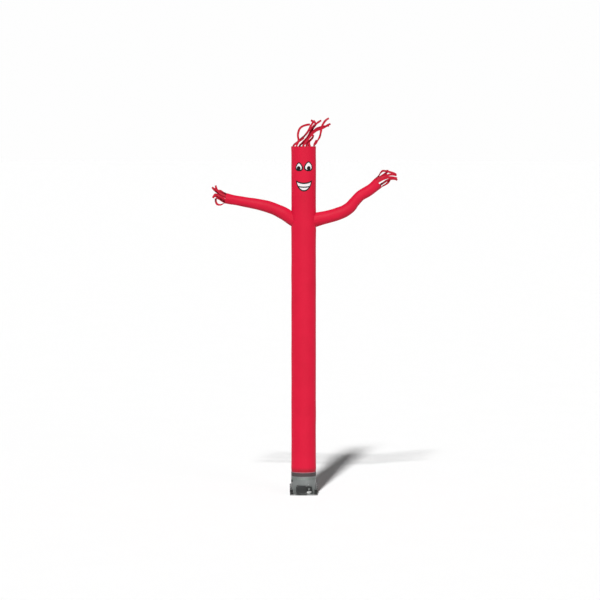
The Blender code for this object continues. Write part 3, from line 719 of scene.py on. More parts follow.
@dataclass(frozen=True)
class Stitch:
    """A kind of sewing."""

    pitch: float = 0.005
    length: float = 0.0042
    thread: float = 0.0009
    swing: float = 0.0
    seed: int = 7


RUNNING = Stitch()
ZIGZAG = Stitch(pitch=0.0028, length=0.0052, thread=0.0008, swing=radians(52))
HEAVY = Stitch(pitch=0.0048, length=0.0042, thread=0.0012)
OVER_CLOTH = 0.0001  # how far the middle of a thread lies above it
BESIDE_SEAM = 0.0045  # how far from a seam it is sewn down


class Line(NamedTuple):
    """A line to be sewn: its points, the way out of the cloth at each, and if it closes."""

    points: Array
    outs: Array
    closed: bool = False


def round_line(points: Array, closed: bool = False) -> Line:
    """A line to be sewn on cloth that stands round the axis."""
    return Line(points, unit(points * (1, 1, 0)), closed)


class Workshop:
    """Fits, sews and screws pieces, with its two geometry trees."""

    def __init__(self) -> None:
        """Build the trees."""
        self.stitches, self.repeats = StitchTree(), RepeatTree()

    def fit(self, made: Mesh | Piece, finish: Finish, slot: str, *nodes: str) -> Piece:
        """Dress a piece and let it ride on the part's one body.

        Args:
            made: The piece, or its mesh with its name.
            finish: Its finish.
            slot: A material slot's name, not used.
            nodes: CAD nodes that it stands for.

        Returns:
            The piece.
        """
        piece = linked(made.name, made) if isinstance(made, Mesh) else made
        piece.data.materials.clear()
        piece.data.materials.append(material(finish))
        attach(piece, BODY)
        if nodes:
            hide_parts(*nodes)
        LOG.info("%s: %d faces", piece.name, len(piece.data.polygons))
        return piece

    def run(self, tree: Tree, mesh: Mesh, ways: Array, finish: Coating, slot: str, **inputs: object) -> Piece:
        """Run a tree on a mesh.

        Args:
            tree: The tree.
            mesh: Its lines or points.
            ways: The vector that each point carries.
            finish: Finish of the result.
            slot: A material slot's name, handed on and not used.
            inputs: The tree's other inputs, by name.

        Returns:
            The result as one piece.
        """
        layer = mesh.attributes.new("way", "FLOAT_VECTOR", "POINT")
        layer.data.foreach_set("vector", ways.astype(np.float32).ravel())
        piece = tree.run(linked(mesh.name, mesh), **inputs, material=material(finish))
        return self.fit(piece, finish, slot)

    def sew(self, name: str, lines: Sequence[Line], stitch: Stitch, finish: Coating, slot: str) -> Piece:
        """Sew along lines.

        Args:
            name: Name of the piece of thread.
            lines: The lines.
            stitch: The kind of stitch.
            finish: Finish of the thread.
            slot: Material slot of the cloth that it is sewn into, handed on and not used.

        Returns:
            All the stitches as one piece.
        """
        edges, start = [], 0
        for line in lines:
            count = len(line.points)
            edges += [(start + i, start + (i + 1) % count) for i in range(count - (not line.closed))]
            start += count
        mesh = bpy.data.meshes.new(name)
        mesh.from_pydata(np.concatenate([line.points for line in lines]).tolist(), edges, [])
        outs = np.concatenate([line.outs for line in lines])
        return self.run(self.stitches, mesh, outs, finish, slot, **vars(stitch))

    def repeat(
        self, name: str, pattern: Mesh, spots: Sequence[tuple], finish: Coating, slot: str, size: float = 1.0
    ) -> None:
        """Put a pattern piece at every spot.

        Args:
            name: Name of the piece.
            pattern: Mesh of the pattern piece, used up by this call.
            spots: Place and turn as Euler angles of each copy.
            finish: Finish of the copies.
            slot: A material slot's name, handed on and not used.
            size: Size of the copies.
        """
        mesh = bpy.data.meshes.new(name)
        mesh.from_pydata([tuple(place) for place, _ in spots], [], [])
        part, turns = linked(pattern.name, pattern), np.array([tuple(turn) for _, turn in spots])
        piece = self.run(self.repeats, mesh, turns, finish, slot, part=part, size=size)
        bpy.data.objects.remove(part, do_unlink=True)
        smoothed(piece.data, 35)

    def screw(self, name: str, heads: Sequence[tuple[Vector, Vector]], radius: float, slot: str) -> None:
        """Drive steel screws of one size, each at a place and with its head out one way."""
        spots = [(place, out.to_track_quat("Z", "Y").to_euler()) for place, out in heads]
        self.repeat(name, screw_pattern(), spots, STEEL, slot, radius)


def screw_pattern() -> Mesh:
    """A pan-head screw of radius 1 with a six-sided recess, its washer face at 0."""
    turn = np.arange(24) * tau / 24
    ring = np.stack([np.cos(turn), np.sin(turn), 0 * turn], -1)
    six = 0.46 / np.cos((turn % (tau / 6)) - tau / 12)
    hexagon = ring * six[:, None] * cos(tau / 12)
    dome = [(1.0, -0.3), (1.0, 0.22), (0.93, 0.42), (0.75, 0.56), (0.55, 0.62)]
    rings = [radius * ring + height * UP for radius, height in dome]
    rings += [hexagon + 0.62 * UP, hexagon + 0.15 * UP]
    return solid_mesh("screw_pattern", rings, 35)


# ---- the inflated tube

WALL = 0.0011  # coated nylon
CLEAR = 0.0004  # between two layers of cloth
HEM_STEP = 0.0006  # how far a hem stands out
HEM_EDGE = 0.002  # length over which it rises
BAND_HEIGHT = 0.045
BAND_OUTS = (-WALL - CLEAR, -2 * WALL - CLEAR)  # of its faces from the plain wall
INSIDE_BAND = -2 * WALL - 2 * CLEAR - 0.0004  # how far in a strip is sewn
BELOW_RIM = 0.0005  # how far a band's edge lies inside the rim


class Root(NamedTuple):
    """Where a strip leaves its band: a row of places across it, its width and the way out."""

    places: Array
    wide: Vector
    out: Vector

    def middle(self) -> Array:
        """Place of the strip's middle line."""
        return self.places[len(self.places) // 2]

    def bow(self) -> Array:
        """How far the band stands out at each place from a flat strip."""
        return (self.places - self.middle()) @ np.array(self.out)


@dataclass(frozen=True)
class Armhole:
    """Where a sleeve is sewn into the tube."""

    turn: float
    height: float
    half_around: float
    half_up: float
    pull: float = 0.0022
    reach: float = 0.045  # from the seam to the deepest part of a fold

    def folds(self, turn: Number, height: Number, radius: float) -> Number:
        """Short folds that fan out from the seam of the sleeve."""
        around = ((turn - self.turn + pi) % tau - pi) * radius / self.half_around
        rise = (height - self.height) / self.half_up
        away = np.maximum(np.hypot(around, rise) - 1.0, 0.0) * self.half_up
        ray = np.arctan2(rise, around)
        fan = np.sin(11 * ray + 0.8) + 0.6 * np.sin(17 * ray + 2.1)
        return self.pull * fan * away / self.reach * np.exp(1 - away / self.reach)


@dataclass
class BodyTube:
    """The standing tube: soft ripples, gathers at its foot and a back seam."""

    columns: int = 120
    seats: int = 64  # places for strips round the top
    strap_top: float = 0.428
    free_over: float = 0.05  # height over which it comes free of the strap
    gather_fade: float = 0.12
    flutter_from: float = 0.30  # down from the top
    hem: float = 0.020
    puff: float = 0.0028  # how far it swells over the strap
    puff_place: Pair = (0.07, 0.08)  # height over the strap and reach
    soft: Ripple = Ripple(3, 0.0011, (2, 7), (0.35, 1.7))
    gathers: Ripple = Ripple(5, 0.0030, (13, 26), (2.0, 5.0))
    flutter: Ripple = Ripple(8, 0.0036, (2, 6), (0.5, 1.4))
    seam: Pair = (0.0014, 0.010)  # depth and half width
    stitch_rows: Pair = (0.016, 0.006)  # down from the top
    armholes: tuple[Armhole, ...] = (
        Armhole(-pi / 2, 5.141, 0.135, 0.136),
        Armhole(pi / 2, 5.119, 0.145, 0.142),
    )

    def __post_init__(self) -> None:
        """Take the tube's size from its node."""
        low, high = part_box("body_tube")
        self.radius: float = (high.y - low.y) / 2
        self.foot: float = low.z
        self.top: float = high.z
        self.turns: Array = np.arange(self.columns) * tau / self.columns - pi

    def depth(self, turn: Number, height: Number) -> Number:
        """How far the cloth stands out from a plain round tube."""
        above = np.maximum(height - self.strap_top, 0.0)
        up, reach = self.puff_place
        made = self.soft(turn, height) + self.puff * np.exp(-(((above - up) / reach) ** 2))
        made = made + self.gathers(turn, height) * np.exp(-above / self.gather_fade)
        off = np.minimum(np.abs(turn - pi), np.abs(turn + pi)) * self.radius
        made = made - self.seam[0] * np.exp(-((off / self.seam[1]) ** 2))
        for hole in self.armholes:
            made = made + hole.folds(turn, height, self.radius)
        loose = ease((height - self.top + self.flutter_from) / self.flutter_from)
        made = ease(above / self.free_over) * made + self.flutter(turn, height) * loose
        return made + HEM_STEP * ease((height - self.top + self.hem) / HEM_EDGE)

    def point(self, turn: Number, height: Number, out: Number = 0.0) -> Array:
        """A point of the tube's outer face, or further out."""
        return round_axis(turn, self.radius + self.depth(turn, height) + out, height)

    def line(self, turn: Number, height: Number, closed: bool = False) -> Line:
        """A line to be sewn on the outer face."""
        return round_line(self.point(turn, height, OVER_CLOTH), closed)

    def mesh(self, name: str, heights: Array, outs: Pair) -> Mesh:
        """Cloth between two heights, its faces so far out from the plain wall."""
        layers = [self.point(self.turns, heights[:, None], out) for out in outs]
        return wall_mesh(name, *layers, laid_out(self.columns, self.radius, heights[:, None]), True)

    def build(self, shop: Workshop, sleeves: Sequence["Sleeve"]) -> None:
        """Make the tube's cloth and its sewing."""
        foot, top = self.foot, self.top
        rows = ((foot, 0), (0.56, 0.008), (4.80, 0.030), (5.42, 0.014), (6.24, 0.022))
        heights = steps(*rows, (top - 0.024, 0.012), (top, 0.003))
        cloth = cut(self.mesh("tube_cloth", heights, (0.0, -WALL)), [sleeve.hole() for sleeve in sleeves])
        shop.fit(cloth, RED, "cloth", "body_tube")
        seam = np.linspace(foot + 0.08, top - 0.004, 900)
        loop = np.linspace(-pi, pi, 240, endpoint=False)
        lines = [self.line(side * (pi - BESIDE_SEAM / self.radius), seam) for side in (-1, 1)]
        lines += [self.line(loop, np.full(240, top - down), True) for down in self.stitch_rows]
        thread = shop.sew("tube_thread", lines, RUNNING, RED_THREAD, "cloth")

    def band(self, shop: Workshop) -> Piece:
        """Make the sewn band inside the open top, which carries the hair."""
        heights = np.linspace(self.top - BAND_HEIGHT, self.top - BELOW_RIM, 7)
        piece = shop.fit(self.mesh("hair_band", heights, BAND_OUTS), STRIP_RED, "strips", "hair_fringe")
        return piece

    def strip_root(self, seat: float, aside: Array) -> Root:
        """Where a strip leaves the band, as Root says."""
        side = tau / self.seats
        angle = (int((radians(seat) % tau) / side) + 0.5) * side
        turn = (angle + pi / 2 + pi) % tau - pi + aside / self.radius
        places = self.point(turn, self.top - BELOW_RIM, INSIDE_BAND)
        return Root(places, Vector((-sin(angle), cos(angle), 0)), Vector((cos(angle), sin(angle), 0)))

    def way_out(self) -> Vector:
        """Direction out of the open top."""
        return Vector(UP)


# ---- the sleeves


class Section(NamedTuple):
    """One ring of a sleeve: its centre, out from the tube's axis and up, and its width."""

    out: float
    height: float
    width: float


LEFT_SLEEVE = (
    Section(-0.130, 5.082, 0.252),
    Section(-0.220, 5.136, 0.243),
    Section(-0.384, 5.239, 0.237),
    Section(-0.532, 5.311, 0.222),
    Section(-0.694, 5.366, 0.217),
    Section(-0.845, 5.402, 0.206),
    Section(-1.025, 5.435, 0.192),
    Section(-1.215, 5.469, 0.178),
    Section(-1.350, 5.492, 0.184),
    Section(-1.450, 5.512, 0.198),
)
RIGHT_SLEEVE = (
    Section(0.120, 5.093, 0.280),
    Section(0.218, 5.117, 0.267),
    Section(0.324, 5.142, 0.250),
    Section(0.493, 5.182, 0.236),
    Section(0.638, 5.227, 0.235),
    Section(0.774, 5.287, 0.228),
    Section(0.865, 5.355, 0.219),
    Section(0.936, 5.440, 0.200),
    Section(1.054, 5.562, 0.201),
    Section(1.172, 5.635, 0.203),
    Section(1.276, 5.705, 0.199),
    Section(1.3865, 5.802, 0.211),
)


@dataclass
class Sleeve:
    """A tapered sleeve, sewn to the tube's side and open at its cuff."""

    hand: str
    rows: tuple[Section, ...]
    tube: BodyTube
    seed: int
    columns: int = 80
    seats: int = 16  # places for strips round the cuff
    mean_radius: float = 0.11
    hole_reach: float = 0.32  # along the sleeve
    hole_in: float = 0.003  # from the sleeve's inner face
    crease_pitch: float = 0.042
    crease_depth: float = 0.026  # for a bend as tight as the sleeve is wide
    free_over: float = 0.03  # length over which it comes free of its seam
    gather_fade: float = 0.08
    flutter_from: float = 0.25  # back from the cuff
    hem: float = 0.018
    stitch_rows: tuple[float, float, float] = (0.007, 0.014, 0.005)  # from the root, and from the cuff

    def __post_init__(self) -> None:
        """Measure along the sleeve, choose its ripples and put its seam below."""
        self.places: Array = measured(np.array(self.rows)[:, :2])
        self.end = float(self.places[-1])
        self.soft = Ripple(self.seed, 0.0013, (2, 6), (0.16, 0.7))
        self.gathers = Ripple(self.seed + 1, 0.0032, (11, 21), (1.5, 4.0))
        self.flutter = Ripple(self.seed + 2, 0.0042, (2, 5), (0.3, 0.8))
        self.seam: float = -pi / 2 if self.rows[-1].out > 0 else pi / 2
        self.angles: Array = self.seam + np.arange(self.columns) * tau / self.columns

    def read(self, at: Array) -> tuple[Array, Array, Array, Array]:
        """Centre, direction, upward side and radius at distances along the sleeve."""
        row, slope = through(np.array(self.rows), self.places, at)
        flat = np.zeros_like(row[..., 0])
        along = unit(np.stack([slope[..., 0], flat, slope[..., 1]], -1))
        up = np.stack([-along[..., 2], flat, along[..., 0]], -1)
        return np.stack([row[..., 0], flat, row[..., 1]], -1), along, up, row[..., 2] / 2

    def wall(self, at: Array, angle: Array, out: Number = 0.0) -> tuple[Array, Array]:
        """Points of the wall and the ways out of it.

        Args:
            at: Distances along the sleeve.
            angle: Angles round it, from the back.
            out: How far out from the plain round wall.

        Returns:
            The points and the outward directions.
        """
        centre, _, up, radius = self.read(at)
        angle = np.asarray(angle)
        way = np.cos(angle)[..., None] * BACK + np.sin(angle)[..., None] * up
        return centre + (radius + out)[..., None] * way, way

    def root(self, angle: Array, out: float) -> Array:
        """Distances along the sleeve where its wall meets the tube's."""
        at = np.linspace(0.0, 0.45, 451)
        points, _ = self.wall(at[:, None], angle[None], out)
        turn = np.arctan2(points[..., 0], -points[..., 1])
        reach = self.tube.radius + self.tube.depth(turn, points[..., 2]) + CLEAR
        away = np.hypot(points[..., 0], points[..., 1]) - reach
        last = len(at) - 1 - np.argmax((away <= 0)[::-1], axis=0)
        column = np.arange(len(angle))
        before, after = away[last, column], away[last + 1, column]
        return at[last] + (at[1] - at[0]) * before / (before - after)

    def creases(self, at: Array, angle: Array) -> Array:
        """Tight folds on the inside of a bend."""
        step = 0.02
        before, after = self.read(at - step)[1], self.read(at + step)[1]
        bend = (after - before) / (2 * step)
        tight = np.clip(np.sum(bend * self.wall(at, angle)[1], -1) * self.read(at)[3], 0.0, 0.3)
        wander = at + 0.007 * np.sin(3 * angle + 2.0) + 0.004 * np.sin(7 * angle)
        valley = 1 - np.abs(np.sin(pi * wander / self.crease_pitch)) ** 0.8
        return -self.crease_depth * tight * valley

    def depth(self, at: Array, angle: Array, root: Array) -> Array:
        """How far the cloth stands out from a plain round sleeve."""
        past = np.maximum(at - root, 0.0)
        made = self.soft(angle, at) + self.gathers(angle, at) * np.exp(-past / self.gather_fade)
        made = ease(past / self.free_over) * (made + self.creases(at, angle))
        made = made + self.flutter(angle, at) * ease((at - self.end + self.flutter_from) / self.flutter_from)
        return made + HEM_STEP * ease((at - self.end + self.hem) / HEM_EDGE)

    def face(self, at: Array, angle: Array, root: Array, out: float = 0.0) -> tuple[Array, Array]:
        """Points of the finished cloth's outer face, or further out, and the ways out of it."""
        at, angle = np.broadcast_arrays(at, angle)
        return self.wall(at, angle, self.depth(at, angle, root) + out)

    def hole(self) -> Piece:
        """The cutter for the hole in the tube."""
        angle = np.arange(self.columns) * tau / self.columns
        places, out = np.linspace(0.0, self.hole_reach, 9), -WALL - self.hole_in
        rings = [self.wall(np.full(self.columns, at), angle, out)[0] for at in places]
        name = f"hole_{self.hand}"
        return linked(name, solid_mesh(name, rings))

    def build(self, shop: Workshop) -> None:
        """Make the sleeve's cloth and its sewing."""
        share = steps((0, 0), (0.08, 0.006), (0.93, 0.0085), (0.984, 0.006), (1.0, 0.002))[:, None]
        roots = [self.root(self.angles, out) for out in (0.0, -WALL)]
        places = [root + (self.end - root) * share for root in roots]
        faces = zip(places, roots, (0.0, -WALL))
        layers = [self.face(at, self.angles, root, out)[0] for at, root, out in faces]
        along = np.concatenate([places[0], places[0][:, :1]], 1)
        uv = laid_out(self.columns, self.read(along)[3], along)
        mesh = wall_mesh(f"sleeve_{self.hand}", *layers, uv, True)
        cloth = shop.fit(mesh, SLEEVE_RED, "cloth", f"arm_{self.hand}")
        thread = shop.sew(f"sleeve_thread_{self.hand}", self.lines(), RUNNING, RED_THREAD, "cloth")

    def lines(self) -> list[Line]:
        """Lines of sewing at the root, under the arm and round the cuff."""
        loop = np.arange(160) * tau / 160
        root = self.root(loop, 0.0)
        past_root, *before_cuff = self.stitch_rows
        rings = [root + past_root, *(np.full(160, self.end - back) for back in before_cuff)]
        made = [Line(*self.face(at, loop, root, OVER_CLOTH), True) for at in rings]
        for side in (-BESIDE_SEAM, BESIDE_SEAM):
            angle = np.full(300, self.seam + side / self.mean_radius)
            start = self.root(angle[:1], 0.0)
            at = np.linspace(float(start[0]) + 0.010, self.end - 0.004, 300)
            made.append(Line(*self.face(at, angle, start, OVER_CLOTH)))
        return made

    def band(self, shop: Workshop) -> Piece:
        """Make the sewn band inside the cuff, which carries the strips of a hand."""
        at = np.linspace(self.end - BAND_HEIGHT, self.end - BELOW_RIM, 7)[:, None]
        root, radius = self.root(self.angles, 0.0), self.rows[-1].width / 2
        layers = [self.face(at, self.angles, root, out)[0] for out in BAND_OUTS]
        mesh = wall_mesh(f"hand_band_{self.hand}", *layers, laid_out(self.columns, radius, at), True)
        piece = shop.fit(mesh, STRIP_RED, "strips", f"hand_fringe_{self.hand}")
        return piece

    def way_out(self) -> Vector:
        """Direction out of the cuff."""
        ends = self.read(np.array([self.end - self.mean_radius, self.end]))[0]
        return Vector(ends[1] - ends[0]).normalized()

    def strip_root(self, seat: float, aside: Array) -> Root:
        """Where a strip leaves the band, as Root says."""
        aim = cos(radians(seat)) * -BACK + sin(radians(seat)) * UP
        angles = (np.arange(self.seats) + 0.5) * tau / self.seats
        rim = np.array([self.end - BELOW_RIM])
        ways = self.wall(rim, angles)[1]
        best = int(np.argmax(ways @ aim))
        spread = angles[best] + aside * 2 / self.rows[-1].width
        out = self.depth(rim, spread, self.root(spread, 0.0)) + INSIDE_BAND
        wide = -sin(angles[best]) * BACK + cos(angles[best]) * self.read(rim)[2][0]
        return Root(self.wall(rim, spread, out)[0], Vector(wide), Vector(ways[best]))


# ---- the fringes


class Strip(NamedTuple):
    """One strip of a fringe.

    seat is the angle round the band in degrees. headings are the directions, in degrees up
    from +X, that it takes in turn along its length. lean is how far it turns towards +Y at
    its start and its end, in degrees, and twist is its turn about its own length.
    """

    seat: float
    length: float
    headings: Row
    lean: Pair
    twist: float


HAIR = (
    Strip(-125, 0.56, (60, 66, 106, 84, 68, 32, 12, 8), (8, 4), 60),
    Strip(156, 0.64, (44, 42, 36, 42, 54, 66, 58, 38), (0, -4), -90),
    Strip(110, 0.63, (43, 45, 47, 51, 61, 73, 55, 45, 150, 158), (-6, 0), -40),
    Strip(90, 0.60, (58, 57, 60, 66, 58, 42, 28), (2, 0), -30),
    Strip(-33, 0.61, (58, 56, 62, 78, 82, 64, 50, 22), (4, 6), -80),
    Strip(-93, 0.68, (62, 54, 50, 52, 40, 20, 22, 36, 18), (0, 4), 30),
    Strip(63, 0.64, (110, 96, 58, 52, 40, 16, 10, 8), (-18, -6), 30),
    Strip(-59, 0.25, (117, 102, 42, 56, 92), (16, 14), -40),
    Strip(77, 0.33, (98, 84, 50, 58, 64), (24, 16), 50),
    Strip(-150, 0.26, (48, 40, 32, 50), (-2, 4), 90),
    Strip(30, 0.13, (80, 66, 60, 58), (6, 8), 90),
)
LEFT_HAND = (
    Strip(90, 0.19, (160, 162, 146, 175, 230), (0, 4), 110),
    Strip(38, 0.29, (160, 156, 140, 112, 104), (2, 0), -60),
    Strip(164, 0.32, (152, 150, 146, 138, 120), (0, -6), 30),
    Strip(-10, 0.29, (144, 146, 149, 148, 170, 250, 240), (4, 4), 20),
    Strip(-150, 0.23, (143, 144, 156, 190), (2, 0), -60),
    Strip(-90, 0.26, (232, 198, 180, 128, 95, 92), (-4, 6), -110),
    Strip(123, 0.26, (162, 162, 154, 122), (-4, -8), 80),
    Strip(-128, 0.19, (132, 146, 160), (-6, -10), -80),
)
RIGHT_HAND = (
    Strip(90, 0.47, (24, 34, 62, 50, -8, -12, -16, -20, -24), (-2, 2), -110),
    Strip(125, 0.30, (24, 26, 28, 32, 40, 100), (4, -4), -80),
    Strip(35, 0.40, (28, 26, 23, 18, -2, -24), (0, -2), 50),
    Strip(166, 0.40, (30, 28, 18, 2, -26, -28), (4, 6), -30),
    Strip(0, 0.38, (31, 26, 16, -8, -14), (2, -4), 30),
    Strip(-90, 0.21, (38, 30, 34, 56, 64), (-4, 4), -110),
    Strip(-130, 0.30, (36, 34, 22, -18), (-8, -6), 50),
    Strip(57, 0.24, (22, 24, 22, 30), (8, 10), 90),
)


@dataclass
class Fringe:
    """Strips of cloth that stream from a sewn band in the air that comes out."""

    name: str
    strips: tuple[Strip, ...]
    holder: BodyTube | Sleeve
    width: float = STRIP_WIDTH
    thick: float = 0.0008
    tail: float = 0.016  # how far a strip is sewn down inside its band
    free_from: float = 0.01  # past the band
    free_over: float = 0.08
    first: float = 0.020
    station: float = 0.042
    spacing: float = 0.008
    waves: Pair = (0.09, 0.16)  # shortest and longest
    cup: float = 0.0026
    flap: float = 0.0034
    sway: float = 0.0022
    seed: int = 40

    def knots(self, strip: Strip, root: Root) -> tuple[Array, Array]:
        """Middle line and width of a strip.

        Args:
            strip: The strip.
            root: Where it leaves the band.

        Returns:
            Rows of a place and a width direction, and the distances along the strip.
        """
        point, wide, axis = Vector(root.middle()), root.wide, self.holder.way_out()
        count = max(4, ceil(strip.length / self.station))
        ends = np.linspace(self.first, strip.length, count + 1).tolist()
        marks = np.linspace(0.0, strip.length, len(strip.headings))
        rows = [(*(point - self.tail * axis), *wide), (*point, *wide)]
        places, reached, direction = [0.0, self.tail], 0.0, axis
        for end in ends:
            middle = (end + reached) / 2
            climb = radians(float(np.interp(middle, marks, strip.headings)))
            lean = radians(float(np.interp(middle, (0.0, strip.length), strip.lean)))
            along = Vector((cos(climb) * cos(lean), sin(lean), sin(climb) * cos(lean)))
            if end == self.first:
                along = (along + axis).normalized()
            point = point + (end - reached) * along
            roll = Quaternion(along, radians(strip.twist / len(ends)))
            wide = (roll @ direction.rotation_difference(along) @ wide).normalized()
            rows.append((*point, *wide))
            places.append(self.tail + end)
            direction, reached = along, end
        return np.array(rows), np.array(places)

    def build(self, shop: Workshop) -> None:
        """Make the band, and every strip as its own ribbon of cloth."""
        band = self.holder.band(shop)
        across = np.linspace(-1.0, 1.0, 7)
        for number, strip in enumerate(self.strips, 1):
            rng = np.random.default_rng(self.seed + number)
            root = self.holder.strip_root(strip.seat, across * self.width / 2)
            rows, places = self.knots(strip, root)
            at = np.linspace(0.0, places[-1], max(24, ceil(places[-1] / self.spacing)))
            read, slope = through(rows, places, at)
            along, wide, at = unit(slope[:, :3]), read[:, 3:], at[:, None]
            wide = unit(wide - np.sum(wide * along, -1, keepdims=True) * along)
            out = np.cross(wide, along)
            free = ease((at - self.tail - self.free_from) / self.free_over)
            phase, pace = rng.uniform(0, tau, 3), tau / rng.uniform(*self.waves, 3)
            cup, flap, sway = np.sin(pace * at + phase).T[..., None]
            lift = self.cup * (0.55 + 0.45 * cup) * (across**2 - 0.4)
            lift = lift + self.flap * flap * across**3 + self.sway * sway
            lift = free * lift + (1 - free) * root.bow()
            middle = read[:, None, :3] + wide[:, None] * across[:, None] * self.width / 2
            layers = [middle + out[:, None] * (lift + side * self.thick / 2)[..., None] for side in (1, -1)]
            uv = np.stack(np.broadcast_arrays(across * self.width / 2, at), -1)
            mesh = wall_mesh(f"{self.name}_strip_{number:02d}", *layers, uv, False)
            piece = shop.fit(mesh, STRIP_RED, "strips")


# ---- the face


PATCH_TRIM = 0.0026  # a patch is sewn down this far inside its edges


class Shape(NamedTuple):
    """A patch before it is sewn on: points over the tube, and where it is sewn down."""

    grid: Array
    seams: list[tuple[Array, bool]]


def oval(middle: float, height: float, half_width: float, half_height: float, egg: float = 0.0) -> Shape:
    """An oval patch, narrower towards its top by egg."""

    def edge(angle: Array, trim: float) -> Array:
        """Points of the outline, drawn in by trim."""
        wide = (half_width - trim) * np.cos(angle) * (1 - egg * np.sin(angle))
        return np.stack([wide, (half_height - trim) * np.sin(angle)], -1)

    rim = edge(np.linspace(-pi / 2 + 0.012, pi / 2 - 0.012, 41), 0.0)
    across = np.sin(np.linspace(-pi / 2, pi / 2, 21))
    grid = np.stack(np.broadcast_arrays(middle + rim[:, :1] * across, height + rim[:, 1:]), -1)
    seam = edge(np.arange(120) * tau / 120, PATCH_TRIM) + (middle, height)
    return Shape(grid, [(seam, True)])


class EyeSize(NamedTuple):
    """One eye: its middle round the tube from the front, its height and its pupil's."""

    middle: float
    height: float
    half_width: float
    half_height: float
    pupil_middle: float
    pupil_height: float


